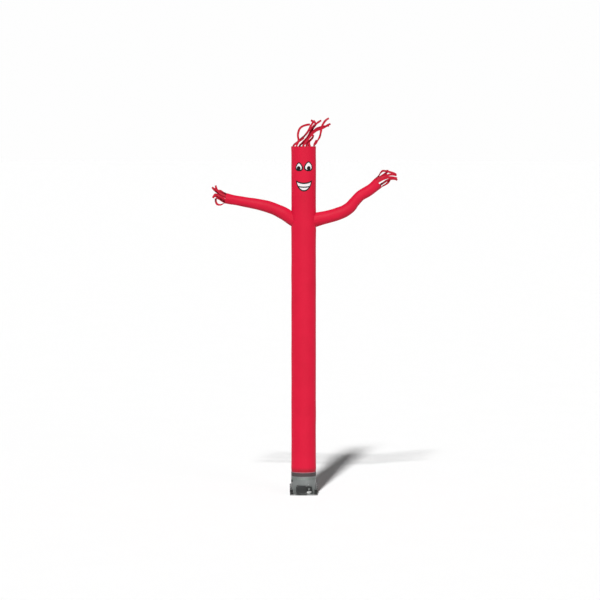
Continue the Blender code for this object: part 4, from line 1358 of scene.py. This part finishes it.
@dataclass
class Face:
    """Sewn-on eyes and grin."""

    tube: BodyTube
    thick: float = 0.001
    gap: float = 0.00045
    eye_rim: float = 0.024
    egg: float = 0.38
    pupil: Pair = (0.037, 0.042)
    grin_middle: float = 0.006
    grin_half: float = 0.158
    grin_corner: float = 5.852
    grin_upper: float = 5.784
    grin_bite: float = 5.726
    grin_lower: float = 5.672
    grin_rim: float = 0.026
    bite_half: float = 0.0115
    bite_flat: float = 0.80
    lip_full: float = 0.62
    teeth_in: float = 1.15
    teeth_drop: float = 0.022
    teeth_least: float = 0.003
    eyes: tuple[tuple[str, EyeSize], ...] = (
        ("left", EyeSize(-0.088, 6.1035, 0.0485, 0.0595, -0.095, 6.074)),
        ("right", EyeSize(0.0925, 6.112, 0.060, 0.068, 0.0965, 6.074)),
    )
    sewing: dict[str, list[Line]] = field(default_factory=lambda: {"black": [], "white": []})

    def patch(self, shop: Workshop, name: str, node: str, shape: Shape, layer: int) -> None:
        """Lay a patch on the tube, clear of the one under it, and mark its sewing.

        Args:
            shop: Where it is made.
            name: Name of the piece.
            node: The CAD node that it stands for.
            shape: The patch.
            layer: How many patches lie under it. Where it is one, the patch is white.
        """
        radius = self.tube.radius
        low = self.gap + layer * (self.thick + self.gap)
        arc, height = shape.grid[..., 0], shape.grid[..., 1]
        layers = [self.tube.point(arc / radius, height, out) for out in (low + self.thick, low)]
        colour, cloth = ("white", WHITE) if layer == 1 else ("black", BLACK)
        piece = shop.fit(wall_mesh(name, *layers, shape.grid, False), cloth, f"face_{colour}", node)
        size = np.ptp(shape.grid.reshape(-1, 2), axis=0)
        area = min(cloth_area(piece), float(size.prod()))
        flat = [float(side) for side in size]
        while area < 0.31 * flat[0] * flat[1]:  # a thin crescent is cut from a lower piece
            flat[1] *= 0.9
        for seam, closed in shape.seams:
            points = self.tube.point(seam[:, 0] / radius, seam[:, 1], low + self.thick + OVER_CLOTH)
            self.sewing[colour].append(round_line(points, closed))

    def lip(self, middle: float, share: Array) -> Array:
        """Height of a curve from corner to corner of the grin."""
        return middle + (self.grin_corner - middle) * share**2

    def lower_lip(self, middle: float, share: Array) -> Array:
        """Height of the deep lower edge of the grin."""
        round_share = np.maximum(1 - np.minimum(np.abs(share), 1.0) ** 2, 0.0)
        return self.grin_corner - (self.grin_corner - middle) * round_share**self.lip_full

    def bite(self, share: Array) -> Array:
        """Height of the line between the rows of teeth."""
        drop = self.bite_flat * (self.grin_corner - self.grin_bite)
        return self.lip(self.grin_bite, share) - drop * share**2

    def teeth_top(self, share: Array) -> Array:
        """Height of the upper teeth's top edge."""
        return self.lip(self.grin_upper, share) - self.teeth_drop * share**2 - self.thick

    def teeth_bottom(self, share: Array) -> Array:
        """Height of the lower teeth's bottom edge."""
        return self.lower_lip(self.grin_lower, share * self.teeth_in)

    def upper_low(self, share: Array) -> Array:
        """Height of the upper teeth's bottom edge."""
        return np.maximum(self.bite(share) + self.bite_half, self.teeth_bottom(share))

    def lower_high(self, share: Array) -> Array:
        """Height of the lower teeth's top edge."""
        return self.bite(share) - self.bite_half

    def reach(self, upper: Curve, lower: Curve) -> float:
        """Half width where the upper curve is still clear of the lower one."""
        shares = np.linspace(0.0, 1.0, 400)
        return float(shares[upper(shares) - lower(shares) > self.teeth_least].max()) * self.grin_half

    def crescent(self, upper: Curve, lower: Curve, reach: float) -> Shape:
        """A patch between two curves over the width of the grin.

        Args:
            upper: Height of the top edge at a share of the grin's half width.
            lower: Height of the bottom edge there.
            reach: Half width of the patch.

        Returns:
            The patch.
        """
        shares = np.sin(np.linspace(-pi / 2, pi / 2, 97) * 0.9995) * reach / self.grin_half
        top, bottom = upper(shares), lower(shares)
        heights = bottom + (top - bottom) * np.linspace(0.0, 1.0, 10)[:, None]
        across = self.grin_middle + shares * self.grin_half
        grid = np.stack(np.broadcast_arrays(across, heights), -1)
        roomy = shares[(top - bottom) > 3.5 * PATCH_TRIM]
        line = np.linspace(roomy.min(), roomy.max(), 140)
        seams, across = [], self.grin_middle + line * self.grin_half
        for curve, trim in ((upper, -PATCH_TRIM), (lower, PATCH_TRIM)):
            seams.append((np.stack([across, curve(line) + trim], -1), False))
        return Shape(grid, seams)

    def build(self, shop: Workshop) -> None:
        """Make the nine patches and their sewing."""
        for hand, row in self.eyes:
            wide, tall, rim = row.half_width, row.half_height, self.eye_rim
            backing = oval(row.middle, row.height, wide + rim, tall + rim, self.egg)
            self.patch(shop, f"eye_{hand}_backing", f"eye_backing_{hand}", backing, 0)
            white = oval(row.middle, row.height, wide, tall, self.egg)
            self.patch(shop, f"eye_{hand}_white", f"eye_white_{hand}", white, 1)
            pupil = oval(row.pupil_middle, row.pupil_height, *self.pupil)
            self.patch(shop, f"eye_{hand}_pupil", f"pupil_{hand}", pupil, 2)
        backing = self.crescent(
            lambda share: self.lip(self.grin_upper + self.grin_rim, share),
            lambda share: self.lower_lip(self.grin_lower - self.grin_rim, share),
            self.grin_half - 0.0004,
        )
        self.patch(shop, "grin_backing", "mouth_backing", backing, 0)
        teeth_rows = ("upper", self.teeth_top, self.upper_low), ("lower", self.lower_high, self.teeth_bottom)
        for row, upper, lower in teeth_rows:
            teeth = self.crescent(upper, lower, self.reach(upper, lower))
            self.patch(shop, f"grin_teeth_{row}", f"teeth_{row}", teeth, 1)
        for colour, thread in (("black", BLACK_THREAD), ("white", WHITE_THREAD)):
            shop.sew(f"face_thread_{colour}", self.sewing[colour], ZIGZAG, thread, f"face_{colour}")


# ---- the strap


@dataclass
class FootStrap:
    """The webbing that holds the tube's foot on the blower, lapped and sewn at the back."""

    tube: BodyTube
    thick: float = 0.002
    overlap: float = radians(24)
    rise: Pair = (radians(17), radians(6))  # where the lap starts to rise and is up
    wave: Ripple = Ripple(21, 0.0011, (2, 9), (1.0, 2.0))
    pillow: float = 0.0004  # how far its middle stands out
    seam_in: float = 0.010
    lap_sewn: Pair = (radians(2), radians(1.5))  # in from the lap's two ends
    binding_seam: float = 0.0105  # down from its top

    def out(self, way: Array) -> Array:
        """Distance from the tube to the strap's inner face at an angle from its start."""
        share = (way - tau + self.rise[0]) / (self.rise[0] - self.rise[1])
        return CLEAR + (self.thick + CLEAR) * ease(share)

    def build(self, shop: Workshop) -> None:
        """Make the strap and its sewing."""
        low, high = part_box("base_strap")
        way = np.linspace(0.0, tau + self.overlap, 170)[None]
        share = np.linspace(0.0, 1.0, 11)[:, None]
        bottom = low.z + 0.0008 + self.wave(way, 0.0)
        top = high.z - 0.0004 + 0.3 * self.wave(way + 1.0, 0.0)
        height = bottom + (top - bottom) * share
        pillow = self.pillow * np.sin(pi * share)
        edge = self.tube.radius + self.out(way)
        layers = [round_axis(pi + way, reach, height) for reach in (edge + self.thick + pillow, edge)]
        uv = np.stack(np.broadcast_arrays(self.tube.radius * way, (high.z - low.z) * share), -1)
        piece = shop.fit(wall_mesh("foot_strap", *layers, uv, False), STRAP, "strap", "base_strap")
        middle, half = (low.z + high.z) / 2, (high.z - low.z) / 2 - self.seam_in
        start, end = tau + self.lap_sewn[0], tau + self.overlap - self.lap_sewn[1]
        spots = [(start, middle - half), (end, middle - half), (end, middle + half), (start, middle + half)]
        lines = []
        for run in (spots + spots[:1], spots[::2], spots[1::2]):  # a box and its cross
            marks = np.linspace(0, len(run) - 1, 30 * (len(run) - 1) + 1)
            lines.append(self.line(*(np.interp(marks, range(len(run)), axis) for axis in zip(*run))))
        lines.append(self.line(np.linspace(0.0, tau + self.overlap, 300), high.z - self.binding_seam))
        thread = shop.sew("strap_thread", lines, HEAVY, BLACK_THREAD, "strap")

    def line(self, way: Array, height: Number) -> Line:
        """A line to be sewn on the strap's outer face."""
        reach = self.tube.radius + self.out(way) + self.thick + self.pillow
        return round_line(round_axis(pi + way, reach, height))


# ---- the blower


def round_box(half: float, low: float, high: float, radii: Row, middle: float = 0.0) -> Outline:
    """Outline of a rectangle with round corners.

    Args:
        half: Half its width.
        low: Its lower edge.
        high: Its upper edge.
        radii: Corner radii from bottom left, bottom right, top right to top left.
        middle: The middle of its width.

    Returns:
        A function from how far the outline is drawn in to its points.
    """

    def points(inset: float) -> list[Pair]:
        """Points of the outline, drawn in by inset."""
        made = []
        corners = ((-1, low, 1), (1, low, 1), (1, high, -1), (-1, high, -1))
        for (side, edge, inward), radius, start in zip(corners, radii, (180, 270, 0, 90)):
            centre = (middle + side * (half - radius), edge + inward * radius)
            for i in range(7):
                turn, reach = radians(start + 15 * i), max(radius - inset, 0.0006)
                shift = inset + reach - radius
                spot = (centre[0] - side * shift, centre[1] + inward * shift)
                made.append((spot[0] + reach * cos(turn), spot[1] + reach * sin(turn)))
        return made

    return points


def soft_levels(start: float, end: float, near: float, far: float, grooves: Row = ()) -> Pairs:
    """Levels along a solid whose ends are rounded, with shallow grooves round it.

    Args:
        start: Level of its first end.
        end: Level of its other end.
        near: Radius of the edge at the first end.
        far: Radius of the edge at the other end.
        grooves: Levels of the middles of the grooves.

    Returns:
        (level, inset) pairs in order.
    """
    way = 1 if end > start else -1
    turns = [pi / 2 * i / 4 for i in range(5)]
    levels = [(start + way * near * (1 - cos(t)), near * (1 - sin(t))) for t in turns]
    for middle in grooves:
        for off, inset in ((-0.0014, 0.0), (-0.0009, 0.0010), (0.0009, 0.0010), (0.0014, 0.0)):
            levels.append((middle + way * off, inset))
    levels += [(end - way * far * (1 - cos(t)), far * (1 - sin(t))) for t in turns[::-1]]
    return levels


class Stack(Enum):
    """Which way a solid's levels follow one another: what X, Y and Z are taken from."""

    UP = (0, 1, 2)
    INWARD = (0, 2, 1)
    ASIDE = (2, 0, 1)

    def place(self, *numbers: float) -> Vector:
        """Point of an outline at a level, from its two numbers and the level."""
        return Vector([numbers[i] for i in self.value])


def levelled(name: str, outline: Outline, levels: Pairs, stack: Stack = Stack.UP, turn: float = 0.0) -> Mesh:
    """A solid with one outline, drawn in at levels, turned about the upright axis."""
    turned = Matrix.Rotation(turn, 3, "Z")
    rings = [[turned @ stack.place(u, v, at) for u, v in outline(inset)] for at, inset in levels]
    return solid_mesh(name, rings, 35)


def spun_mesh(name: str, profile: Pairs, centre: Vector, out: Vector, sides: int = 32) -> Mesh:
    """A solid turned from (radius, level) points about a line from a centre."""
    across = out.orthogonal().normalized()
    up = out.cross(across)
    ways = [cos(turn) * across + sin(turn) * up for turn in (tau * i / sides for i in range(sides))]
    rings = [[centre + out * level + radius * way for way in ways] for radius, level in profile]
    return solid_mesh(name, rings)


def fitted(mesh: Mesh, radius: float) -> Piece:
    """Make a mesh a piece whose back is cut to a round drum."""
    space = spun_mesh("drum_space", [(radius, 0.0), (radius, 0.4)], Vector(), upright(1), 192)
    piece = cut(mesh, [linked("drum_space", space)])
    smoothed(piece.data, 35)
    return piece


@dataclass
class Drum:
    """The sheet-metal drum with rolled beads, an outlet collar and slots in its back."""

    tube: BodyTube
    sides: int = 192
    wall: float = 0.0022
    bead_out: float = 0.003
    bead_half: float = 0.010
    shoulder: float = 0.345
    shoulder_round: float = 0.004
    slot_rows: int = 7
    slot_columns: int = 3
    slot_turn: float = radians(22)
    slot_pitch: float = 0.024
    slot_lowest: float = 0.090
    slot_half: float = 0.035
    slot_round: float = 0.005
    lip_grown: Row = (0.0026, 0.0020, 0.0008, -0.0004, -0.0004)  # past the slot
    lip_out: Row = (-0.0006, 0.0011, 0.0015, 0.0008, -0.0026)
    screw: Pair = (23, 0.199)  # turn in degrees and height of the one in front
    back_screws: Row = (0.10, 0.18, 0.26)
    back_screw_turn: float = 48
    screw_radius: float = 0.0058
    collar_in: float = 0.00235  # from the tube's outer face

    def __post_init__(self) -> None:
        """Take the drum's size from its node."""
        low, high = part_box("blower_drum")
        self.foot: float = low.z
        self.top: float = high.z
        self.radius: float = (high.x - low.x) / 2 - self.bead_out
        self.collar: float = self.tube.radius - self.collar_in

    def profile(self) -> Pairs:
        """Outer face from foot to rim as (radius, height) points."""
        made = []
        bend, shoulder = self.shoulder_round, self.shoulder
        for height in steps((self.foot, 0), (shoulder - bend - 0.002, 0.0035)).tolist():
            swell = 0.0
            for bead in BEADS:
                share = min(abs(height - bead) / self.bead_half, 1.0)
                swell += self.bead_out * 0.98 * (0.5 + 0.5 * cos(pi * share))
            made.append((self.radius + swell, height))
        for turn in (pi / 2 * i / 6 for i in range(7)):
            made.append((self.radius - bend + bend * cos(turn), shoulder - bend + bend * sin(turn)))
        made += [(self.collar + 0.0004, shoulder), (self.collar, shoulder + 0.0006)]
        made += [(self.collar, height) for height in np.linspace(shoulder + 0.006, self.top, 12).tolist()]
        return made

    def shell(self) -> Mesh:
        """The sheet metal, turned about the upright axis."""
        line = np.array(self.profile(), float)
        run = unit(np.gradient(line, axis=0))
        within = line - self.wall * np.stack([run[:, 1], -run[:, 0]], -1)
        turn = np.arange(self.sides) * tau / self.sides
        layers = [round_axis(turn, rows[:, :1], rows[:, 1:]) for rows in (line, within)]
        uv = laid_out(self.sides, self.radius, measured(line)[:, None])
        return wall_mesh("drum_shell", *layers, uv, True)

    def slot_outline(self, grown: float) -> Pairs:
        """Outline of a slot with round ends, grown by a distance."""
        made, reach, middle = [], self.slot_round + grown, self.slot_half - self.slot_round
        for side, start in ((1, -90), (-1, 90)):
            for turn in (radians(start + 180 * i / 7) for i in range(8)):
                made.append((side * middle + reach * cos(turn), reach * sin(turn)))
        return made

    def slots(self) -> Pairs:
        """Turn from the back and height of every slot."""
        middle = (self.slot_columns - 1) / 2
        turns = [(column - middle) * self.slot_turn for column in range(self.slot_columns)]
        heights = [self.slot_lowest + row * self.slot_pitch for row in range(self.slot_rows)]
        return [(turn, height) for turn in turns for height in heights]

    def slot_cutter(self) -> Piece:
        """All the slots as one cutter."""
        meshes, outline, reaches = [], self.slot_outline(0.0), (self.radius - 0.02, self.radius + 0.02)
        for turn, height in self.slots():
            turned = Matrix.Rotation(turn, 3, "Z")
            rings = [[turned @ Vector((u, reach, height + v)) for u, v in outline] for reach in reaches]
            meshes.append(solid_mesh("slot", rings))
        return linked("slot_cutter", joined("slot_cutter", meshes))

    def lip_pattern(self) -> Mesh:
        """The pressed lip round one slot, in place on the drum's back at height 0."""
        rings = []
        for grown, out in zip(self.lip_grown, self.lip_out):
            turns = [(u / self.radius, v) for u, v in self.slot_outline(grown)]
            reach = self.radius + out
            rings.append([(reach * sin(turn), reach * cos(turn), height) for turn, height in turns])
        return solid_mesh("lip_pattern", rings, looped=True)

    def build(self, shop: Workshop) -> None:
        """Make the drum, its slots and its fixings."""
        shop.fit(cut(self.shell(), [self.slot_cutter()]), DRUM_PAINT, "drum_paint", "blower_drum")
        lips = [(upright(height), (0.0, 0.0, turn)) for turn, height in self.slots()]
        shop.repeat("drum_slot_lips", self.lip_pattern(), lips, DRUM_PAINT, "drum_paint")
        sides = (-self.back_screw_turn, self.back_screw_turn)
        heads = []
        for turn, height in (self.screw, *((180 + side, up) for side in sides for up in self.back_screws)):
            out = heading(radians(turn))
            heads.append((out * self.radius + upright(height), out))
        shop.screw("drum_screws", heads, self.screw_radius, "drum_paint")


@dataclass
class Footing:
    """The plate, its corner blocks and the two side brackets."""

    corner: float = 0.030
    plate_edges: Pair = (0.0012, 0.0030)
    plate_screws: Row = (-0.17, 0.0, 0.17)
    plate_screw: float = 0.0042
    block_corner: float = 0.012
    block_edges: Pair = (0.0015, 0.0045)
    block_grooves: Row = (0.040, 0.060, 0.080)
    block_screw: float = 0.0075
    bracket_corners: Row = (0.004, 0.004, 0.020, 0.020)
    bracket_edges: Pair = (0.0022, 0.0008)
    ribs: int = 5
    rib_start: float = 0.022
    rib_pitch: float = 0.034
    rib_reach: float = 0.0462
    rib_half: float = 0.0085
    rib_out: float = 0.0035
    bolt_aside: float = 0.026
    bolt_height: float = 0.141
    bolt: float = 0.0056

    def plate(self, shop: Workshop) -> None:
        """The flat plate."""
        low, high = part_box("base_plate")
        outline = round_box(high.x, low.y, high.y, (self.corner,) * 4)
        mesh = levelled("foot_plate", outline, soft_levels(low.z, high.z, *self.plate_edges))
        shop.fit(mesh, PLATE_PAINT, "plate_paint", "base_plate")
        heads, level = [], (low.z + high.z) / 2
        for side, edge in ((-1, low.y), (1, high.y)):
            heads += [(Vector((x, edge, level)), Vector((0, side, 0))) for x in self.plate_screws]
        shop.screw("plate_screws", heads, self.plate_screw, "plate_paint")

    def blocks(self, shop: Workshop) -> None:
        """The four rubber corner blocks and the screws that hold them."""
        heads = []
        for corner in ("front_left", "front_right", "back_left", "back_right"):
            low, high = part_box(f"corner_block_{corner}")
            middle, half = (low.x + high.x) / 2, (high.x - low.x) / 2
            outline = round_box(half, low.y, high.y, (self.block_corner,) * 4, middle)
            levels = soft_levels(low.z, high.z, *self.block_edges, self.block_grooves)
            mesh = levelled(f"rubber_block_{corner}", outline, levels)
            shop.fit(mesh, RUBBER, "rubber", f"corner_block_{corner}")
            heads.append((Vector((middle, (low.y + high.y) / 2, high.z)), upright(1)))
        shop.screw("block_screws", heads, self.block_screw, "rubber")

    def brackets(self, shop: Workshop) -> None:
        """The two upright brackets with their ribs and bolts."""
        spots, bolts = [], []
        for hand, side in (("left", -1), ("right", 1)):
            low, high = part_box(f"bracket_{hand}")
            outline = round_box(high.y, low.z, high.z, self.bracket_corners)
            inner, outer = (low.x, high.x) if side > 0 else (high.x, low.x)
            levels = soft_levels(outer, inner, *self.bracket_edges)
            mesh = levelled(f"drum_bracket_{hand}", outline, levels, Stack.ASIDE)
            shop.fit(mesh, PLATE_PAINT, "plate_paint", f"bracket_{hand}")
            turn = (0.0, 0.0, 0.0 if side > 0 else pi)
            lowest = low.z + self.rib_start
            spots += [(Vector((outer, 0, lowest + i * self.rib_pitch)), turn) for i in range(self.ribs)]
            for y in (-self.bolt_aside, self.bolt_aside):
                bolts.append((Vector((outer, y, self.bolt_height)), Vector((side, 0, 0))))
        outline = round_box(self.rib_reach, -self.rib_half, self.rib_half, (0.006,) * 4)
        levels = soft_levels(self.rib_out, -0.012, self.rib_out * 0.8, 0.0004)
        rib = levelled("rib_pattern", outline, levels, Stack.ASIDE)
        shop.repeat("bracket_ribs", rib, spots, RUBBER, "rubber")
        shop.screw("bracket_bolts", bolts, self.bolt, "plate_paint")

    def build(self, shop: Workshop) -> None:
        """Make all three."""
        for make in (self.plate, self.blocks, self.brackets):
            make(shop)


@dataclass
class ControlBoxes:
    """The large and the small box on the drum's front, with the inlet, lug and plaque."""

    drum: Drum
    back: float = -0.130
    clear: float = 0.00035
    box_corners: Row = (0.012, 0.012, 0.022, 0.022)
    box_edge: float = 0.0045
    box_groove: float = 0.021  # in from its front
    box_screw_in: float = 0.0125
    box_screw: float = 0.0046
    button: Pair = (0.013, 0.114)  # aside and up
    button_radii: Row = (0.0105, 0.0105, 0.0098, 0.0078, 0.0074, 0.0070, 0.0070, 0.0060, 0.0030)
    button_levels: Row = (-0.002, 0.0022, 0.0030, 0.0030, 0.0022, 0.0022, 0.0050, 0.0062, 0.0066)
    small_corners: Row = (0.006, 0.006, 0.010, 0.010)
    small_edge: float = 0.0030
    small_groove: float = 0.012
    small_screw_in: float = 0.010
    small_screw: float = 0.0036
    pin_ring: float = 0.0075
    lug_half: float = 0.016
    lug_out: float = 0.014
    lug_length: float = 0.034
    lug_corner: float = 0.006
    lug_turn: float = radians(22)
    plate_middle: float = 0.108
    plate_height: float = 0.060
    plate_half: Pair = (0.049, 0.022)
    plate_out: float = 0.0004
    plate_thick: float = 0.0012
    rivets: Pair = (0.068, 0.148)
    rivet: float = 0.0026

    def on_front(self, name: str, node: str, radii: Row, edge: float, groove: float, reach: float) -> Piece:
        """A box whose back is cut to the drum.

        Args:
            name: Name of the piece.
            node: Its CAD node, whose place and size it takes.
            radii: Its corner radii.
            edge: Radius of its front edge.
            groove: Distance of its parting line from its front.
            reach: Radius that its back is cut to.

        Returns:
            The box.
        """
        low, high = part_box(node)
        outline = round_box((high.x - low.x) / 2, low.z, high.z, radii, (low.x + high.x) / 2)
        levels = soft_levels(low.y, self.back, edge, 0.0005, (low.y + groove,))
        return fitted(levelled(name, outline, levels, Stack.INWARD), reach)

    def control(self, shop: Workshop) -> None:
        """The large box with its cover screws and its button."""
        reach = self.drum.radius + self.drum.bead_out + self.clear
        looks = self.box_corners, self.box_edge, self.box_groove
        box = self.on_front("switch_box", "control_box", *looks, reach)
        shop.fit(box, BOX_PLASTIC, "box_plastic", "control_box")
        low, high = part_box("control_box")
        inset, front = self.box_screw_in, heading(0.0)
        spots = [(x, z) for x in (low.x + inset, high.x - inset) for z in (low.z + inset, high.z - inset)]
        heads = [(Vector((x, low.y, z)), front) for x, z in spots]
        shop.screw("cover_screws", heads, self.box_screw, "box_plastic")
        place = Vector((self.button[0], low.y, self.button[1]))
        profile = list(zip(self.button_radii, self.button_levels))
        shop.fit(spun_mesh("box_button", profile, place, front), DARK_PLASTIC, "box_plastic")

    def inlet(self, shop: Workshop) -> None:
        """The small box and the round inlet on its front."""
        reach = self.drum.radius + self.clear
        looks = self.small_corners, self.small_edge, self.small_groove
        box = self.on_front("inlet_housing", "inlet_box", *looks, reach)
        shop.fit(box, DARK_PLASTIC, "dark_plastic", "inlet_box")
        low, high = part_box("inlet_box")
        inset, front = self.small_screw_in, heading(0.0)
        heads = [(Vector((x, low.y, high.z - inset)), front) for x in (low.x + inset, high.x - inset)]
        shop.screw("inlet_screws", heads, self.small_screw, "dark_plastic")
        low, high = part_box("power_inlet")
        centre = Vector(((low.x + high.x) / 2, high.y, (low.z + high.z) / 2))
        radius, out = (high.x - low.x) / 2, high.y - low.y
        rim = [(radius, 0.0), (radius, out * 0.72), (radius - 0.0006, out * 0.88), (radius - 0.0022, out)]
        rim += [(radius - 0.0042, out), (radius - 0.0052, out - 0.0008), (radius - 0.0060, out * 0.4)]
        socket = spun_mesh("inlet_socket", rim, centre, front, 48)
        shop.fit(socket, GREY_PLASTIC, "drum_plastic", "power_inlet")
        outline = round_box(0.0032, -0.0010, 0.0010, (0.0006,) * 4)
        pin = levelled("pin_pattern", outline, soft_levels(0.0048, -0.001, 0.0006, 0.0001))
        pins, ring = [], self.pin_ring
        for turn in map(radians, (90, 210, 330)):
            spot = centre + Vector((ring * cos(turn), -out * 0.4, ring * sin(turn)))
            pins.append((spot, (pi / 2, -turn, 0.0)))
        shop.repeat("inlet_pins", pin, pins, STEEL, "drum_plastic")

    def lug(self, shop: Workshop) -> None:
        """The dark lug on the drum's left side."""
        low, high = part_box("side_lug")
        outline = round_box(self.lug_half, low.z, high.z, (self.lug_corner,) * 4)
        start = -(self.drum.radius + self.lug_out)
        levels = soft_levels(start, start + self.lug_length, 0.0022, 0.0003)
        mesh = levelled("drum_lug", outline, levels, Stack.ASIDE, self.lug_turn)
        lug = fitted(mesh, self.drum.radius + self.clear)
        shop.fit(lug, DARK_PLASTIC, "dark_plastic", "side_lug")

    def plaque(self, shop: Workshop) -> None:
        """The blank oval plate low on the drum's front, and its two rivets."""
        reach, (wide, tall) = self.drum.radius + self.drum.bead_out, self.plate_half
        shape = oval(self.plate_middle, self.plate_height, wide, tall)
        arc, height = shape.grid[..., 0], shape.grid[..., 1]
        off = np.hypot((arc - self.plate_middle) / wide, (height - self.plate_height) / tall)
        front = self.plate_out + self.plate_thick * (1 - 0.6 * ease((off - 0.9) / 0.1))
        layers = [round_axis(arc / reach, reach + out, height) for out in (front, self.plate_out)]
        shop.fit(wall_mesh("oval_plate", *layers, shape.grid, False), PLAQUE, "plaque", "blank_plate")
        heads = []
        for out in (heading(middle / reach) for middle in self.rivets):
            heads.append((out * (reach + self.plate_thick + 0.0002) + upright(self.plate_height), out))
        shop.screw("plate_rivets", heads, self.rivet, "plaque")

    def build(self, shop: Workshop) -> None:
        """Make all four."""
        for make in (self.control, self.inlet, self.lug, self.plaque):
            make(shop)


# ---- the studio


class Lamp(NamedTuple):
    """A distant light: its turn from behind the camera, height, softness and power."""

    name: str
    turn: float
    height: float
    softness: float
    power: float


@dataclass
class Studio:
    """Pale floor, soft light and the camera."""

    middle: tuple[float, float, float] = (-0.0678, 0.0, 3.624)
    frame_width: float = 11.151
    distance: float = 60.0
    elevation: float = radians(3.5)
    key: Lamp = Lamp("key", radians(-8.0), radians(41), radians(3.3), 1.53)
    key_heights: Row = (radians(38.2), radians(41), radians(44.4))  # a tall light in three
    fill: Lamp = Lamp("fill", radians(30), radians(6), radians(20), 0.65)
    sky_power: float = 0.13
    white: float = 0.99  # of the sky behind, as the camera sees it
    floor_grey: float = 0.90
    floor_reach: float = 350.0

    def camera(self) -> None:
        """Set up the camera."""
        data = bpy.data.cameras.new("camera")
        data.lens = 36.0 * self.distance / self.frame_width
        data.clip_start, data.clip_end = 1.0, 800.0
        camera = linked("camera", data)
        back = Vector((0.0, -cos(self.elevation), sin(self.elevation)))
        camera.location = Vector(self.middle) + back * self.distance
        camera.rotation_euler = back.to_track_quat("Z", "Y").to_euler()
        bpy.context.scene.camera = camera

    def light(self, row: Lamp) -> None:
        """Set up a distant light."""
        data = bpy.data.lights.new(row.name, "SUN")
        data.energy, data.angle = row.power, row.softness
        lamp = linked(row.name, data)
        back = heading(row.turn) * cos(row.height) + upright(sin(row.height))
        lamp.rotation_euler = back.to_track_quat("Z", "Y").to_euler()
        lamp.location = back * 20

    def sky(self) -> None:
        """Set up a dim even sky that shows as white behind the floor."""
        world = bpy.data.worlds.new("studio")
        world.use_nodes = True
        made = Nodes(world.node_tree)
        ray = made.add("ShaderNodeLightPath", {}, "Is Camera Ray")
        power = made.math("MULTIPLY_ADD", ray, self.white - self.sky_power, self.sky_power)
        back = world.node_tree.nodes["Background"]
        back.inputs["Color"].default_value = (1.0, 1.0, 1.0, 1.0)
        made.feed(back.inputs["Strength"], power)
        bpy.context.scene.world = world

    def floor(self) -> None:
        """Lay the pale floor."""
        mesh, reach = bpy.data.meshes.new("floor"), self.floor_reach
        spots = [(x * reach, y * reach, -0.0005) for x, y in ((-1, -1), (1, -1), (1, 1), (-1, 1))]
        mesh.from_pydata(spots, [], [(0, 1, 2, 3)])
        made = Surface("floor_paper", Specular_IOR_Level=0.0)
        cloud, grey = made.noise(made.place(), 0.8, 2.0), self.floor_grey
        colour = made.tint(cloud, (grey, grey, grey), (grey - 0.01, grey - 0.01, grey - 0.012))
        mesh.materials.append(made.close(colour, 0.9, made.times(cloud, 0.0)))
        linked("floor", mesh)

    def build(self) -> None:
        """Set up everything."""
        self.camera()
        for number, height in enumerate(self.key_heights, 1):
            self.light(self.key._replace(name=f"key_{number}", height=height))
        self.light(self.fill)
        self.sky()
        self.floor()
        bpy.context.scene.view_settings.view_transform = "Standard"


def corners(bounds: tuple[Vector, Vector]) -> list[list[float]]:
    """Two corners as plain lists of numbers."""
    return [[float(number) for number in corner] for corner in bounds]


def main() -> None:
    """Build every piece in order, then the studio."""
    logging.basicConfig(level=logging.INFO, format="%(message)s")
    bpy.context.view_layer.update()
    shop = Workshop()
    tube = BodyTube()
    sleeves = [Sleeve("left", LEFT_SLEEVE, tube, 31), Sleeve("right", RIGHT_SLEEVE, tube, 51)]
    tube.build(shop, sleeves)
    Fringe("hair", HAIR, tube).build(shop)
    for sleeve, strips in zip(sleeves, (LEFT_HAND, RIGHT_HAND)):
        sleeve.build(shop)
        Fringe(f"{sleeve.hand}_hand", strips, sleeve).build(shop)
    Face(tube).build(shop)
    FootStrap(tube).build(shop)
    drum = Drum(tube)
    drum.build(shop)
    Footing().build(shop)
    ControlBoxes(drum).build(shop)
    Studio().build()


if __name__ == "__main__":
    main()
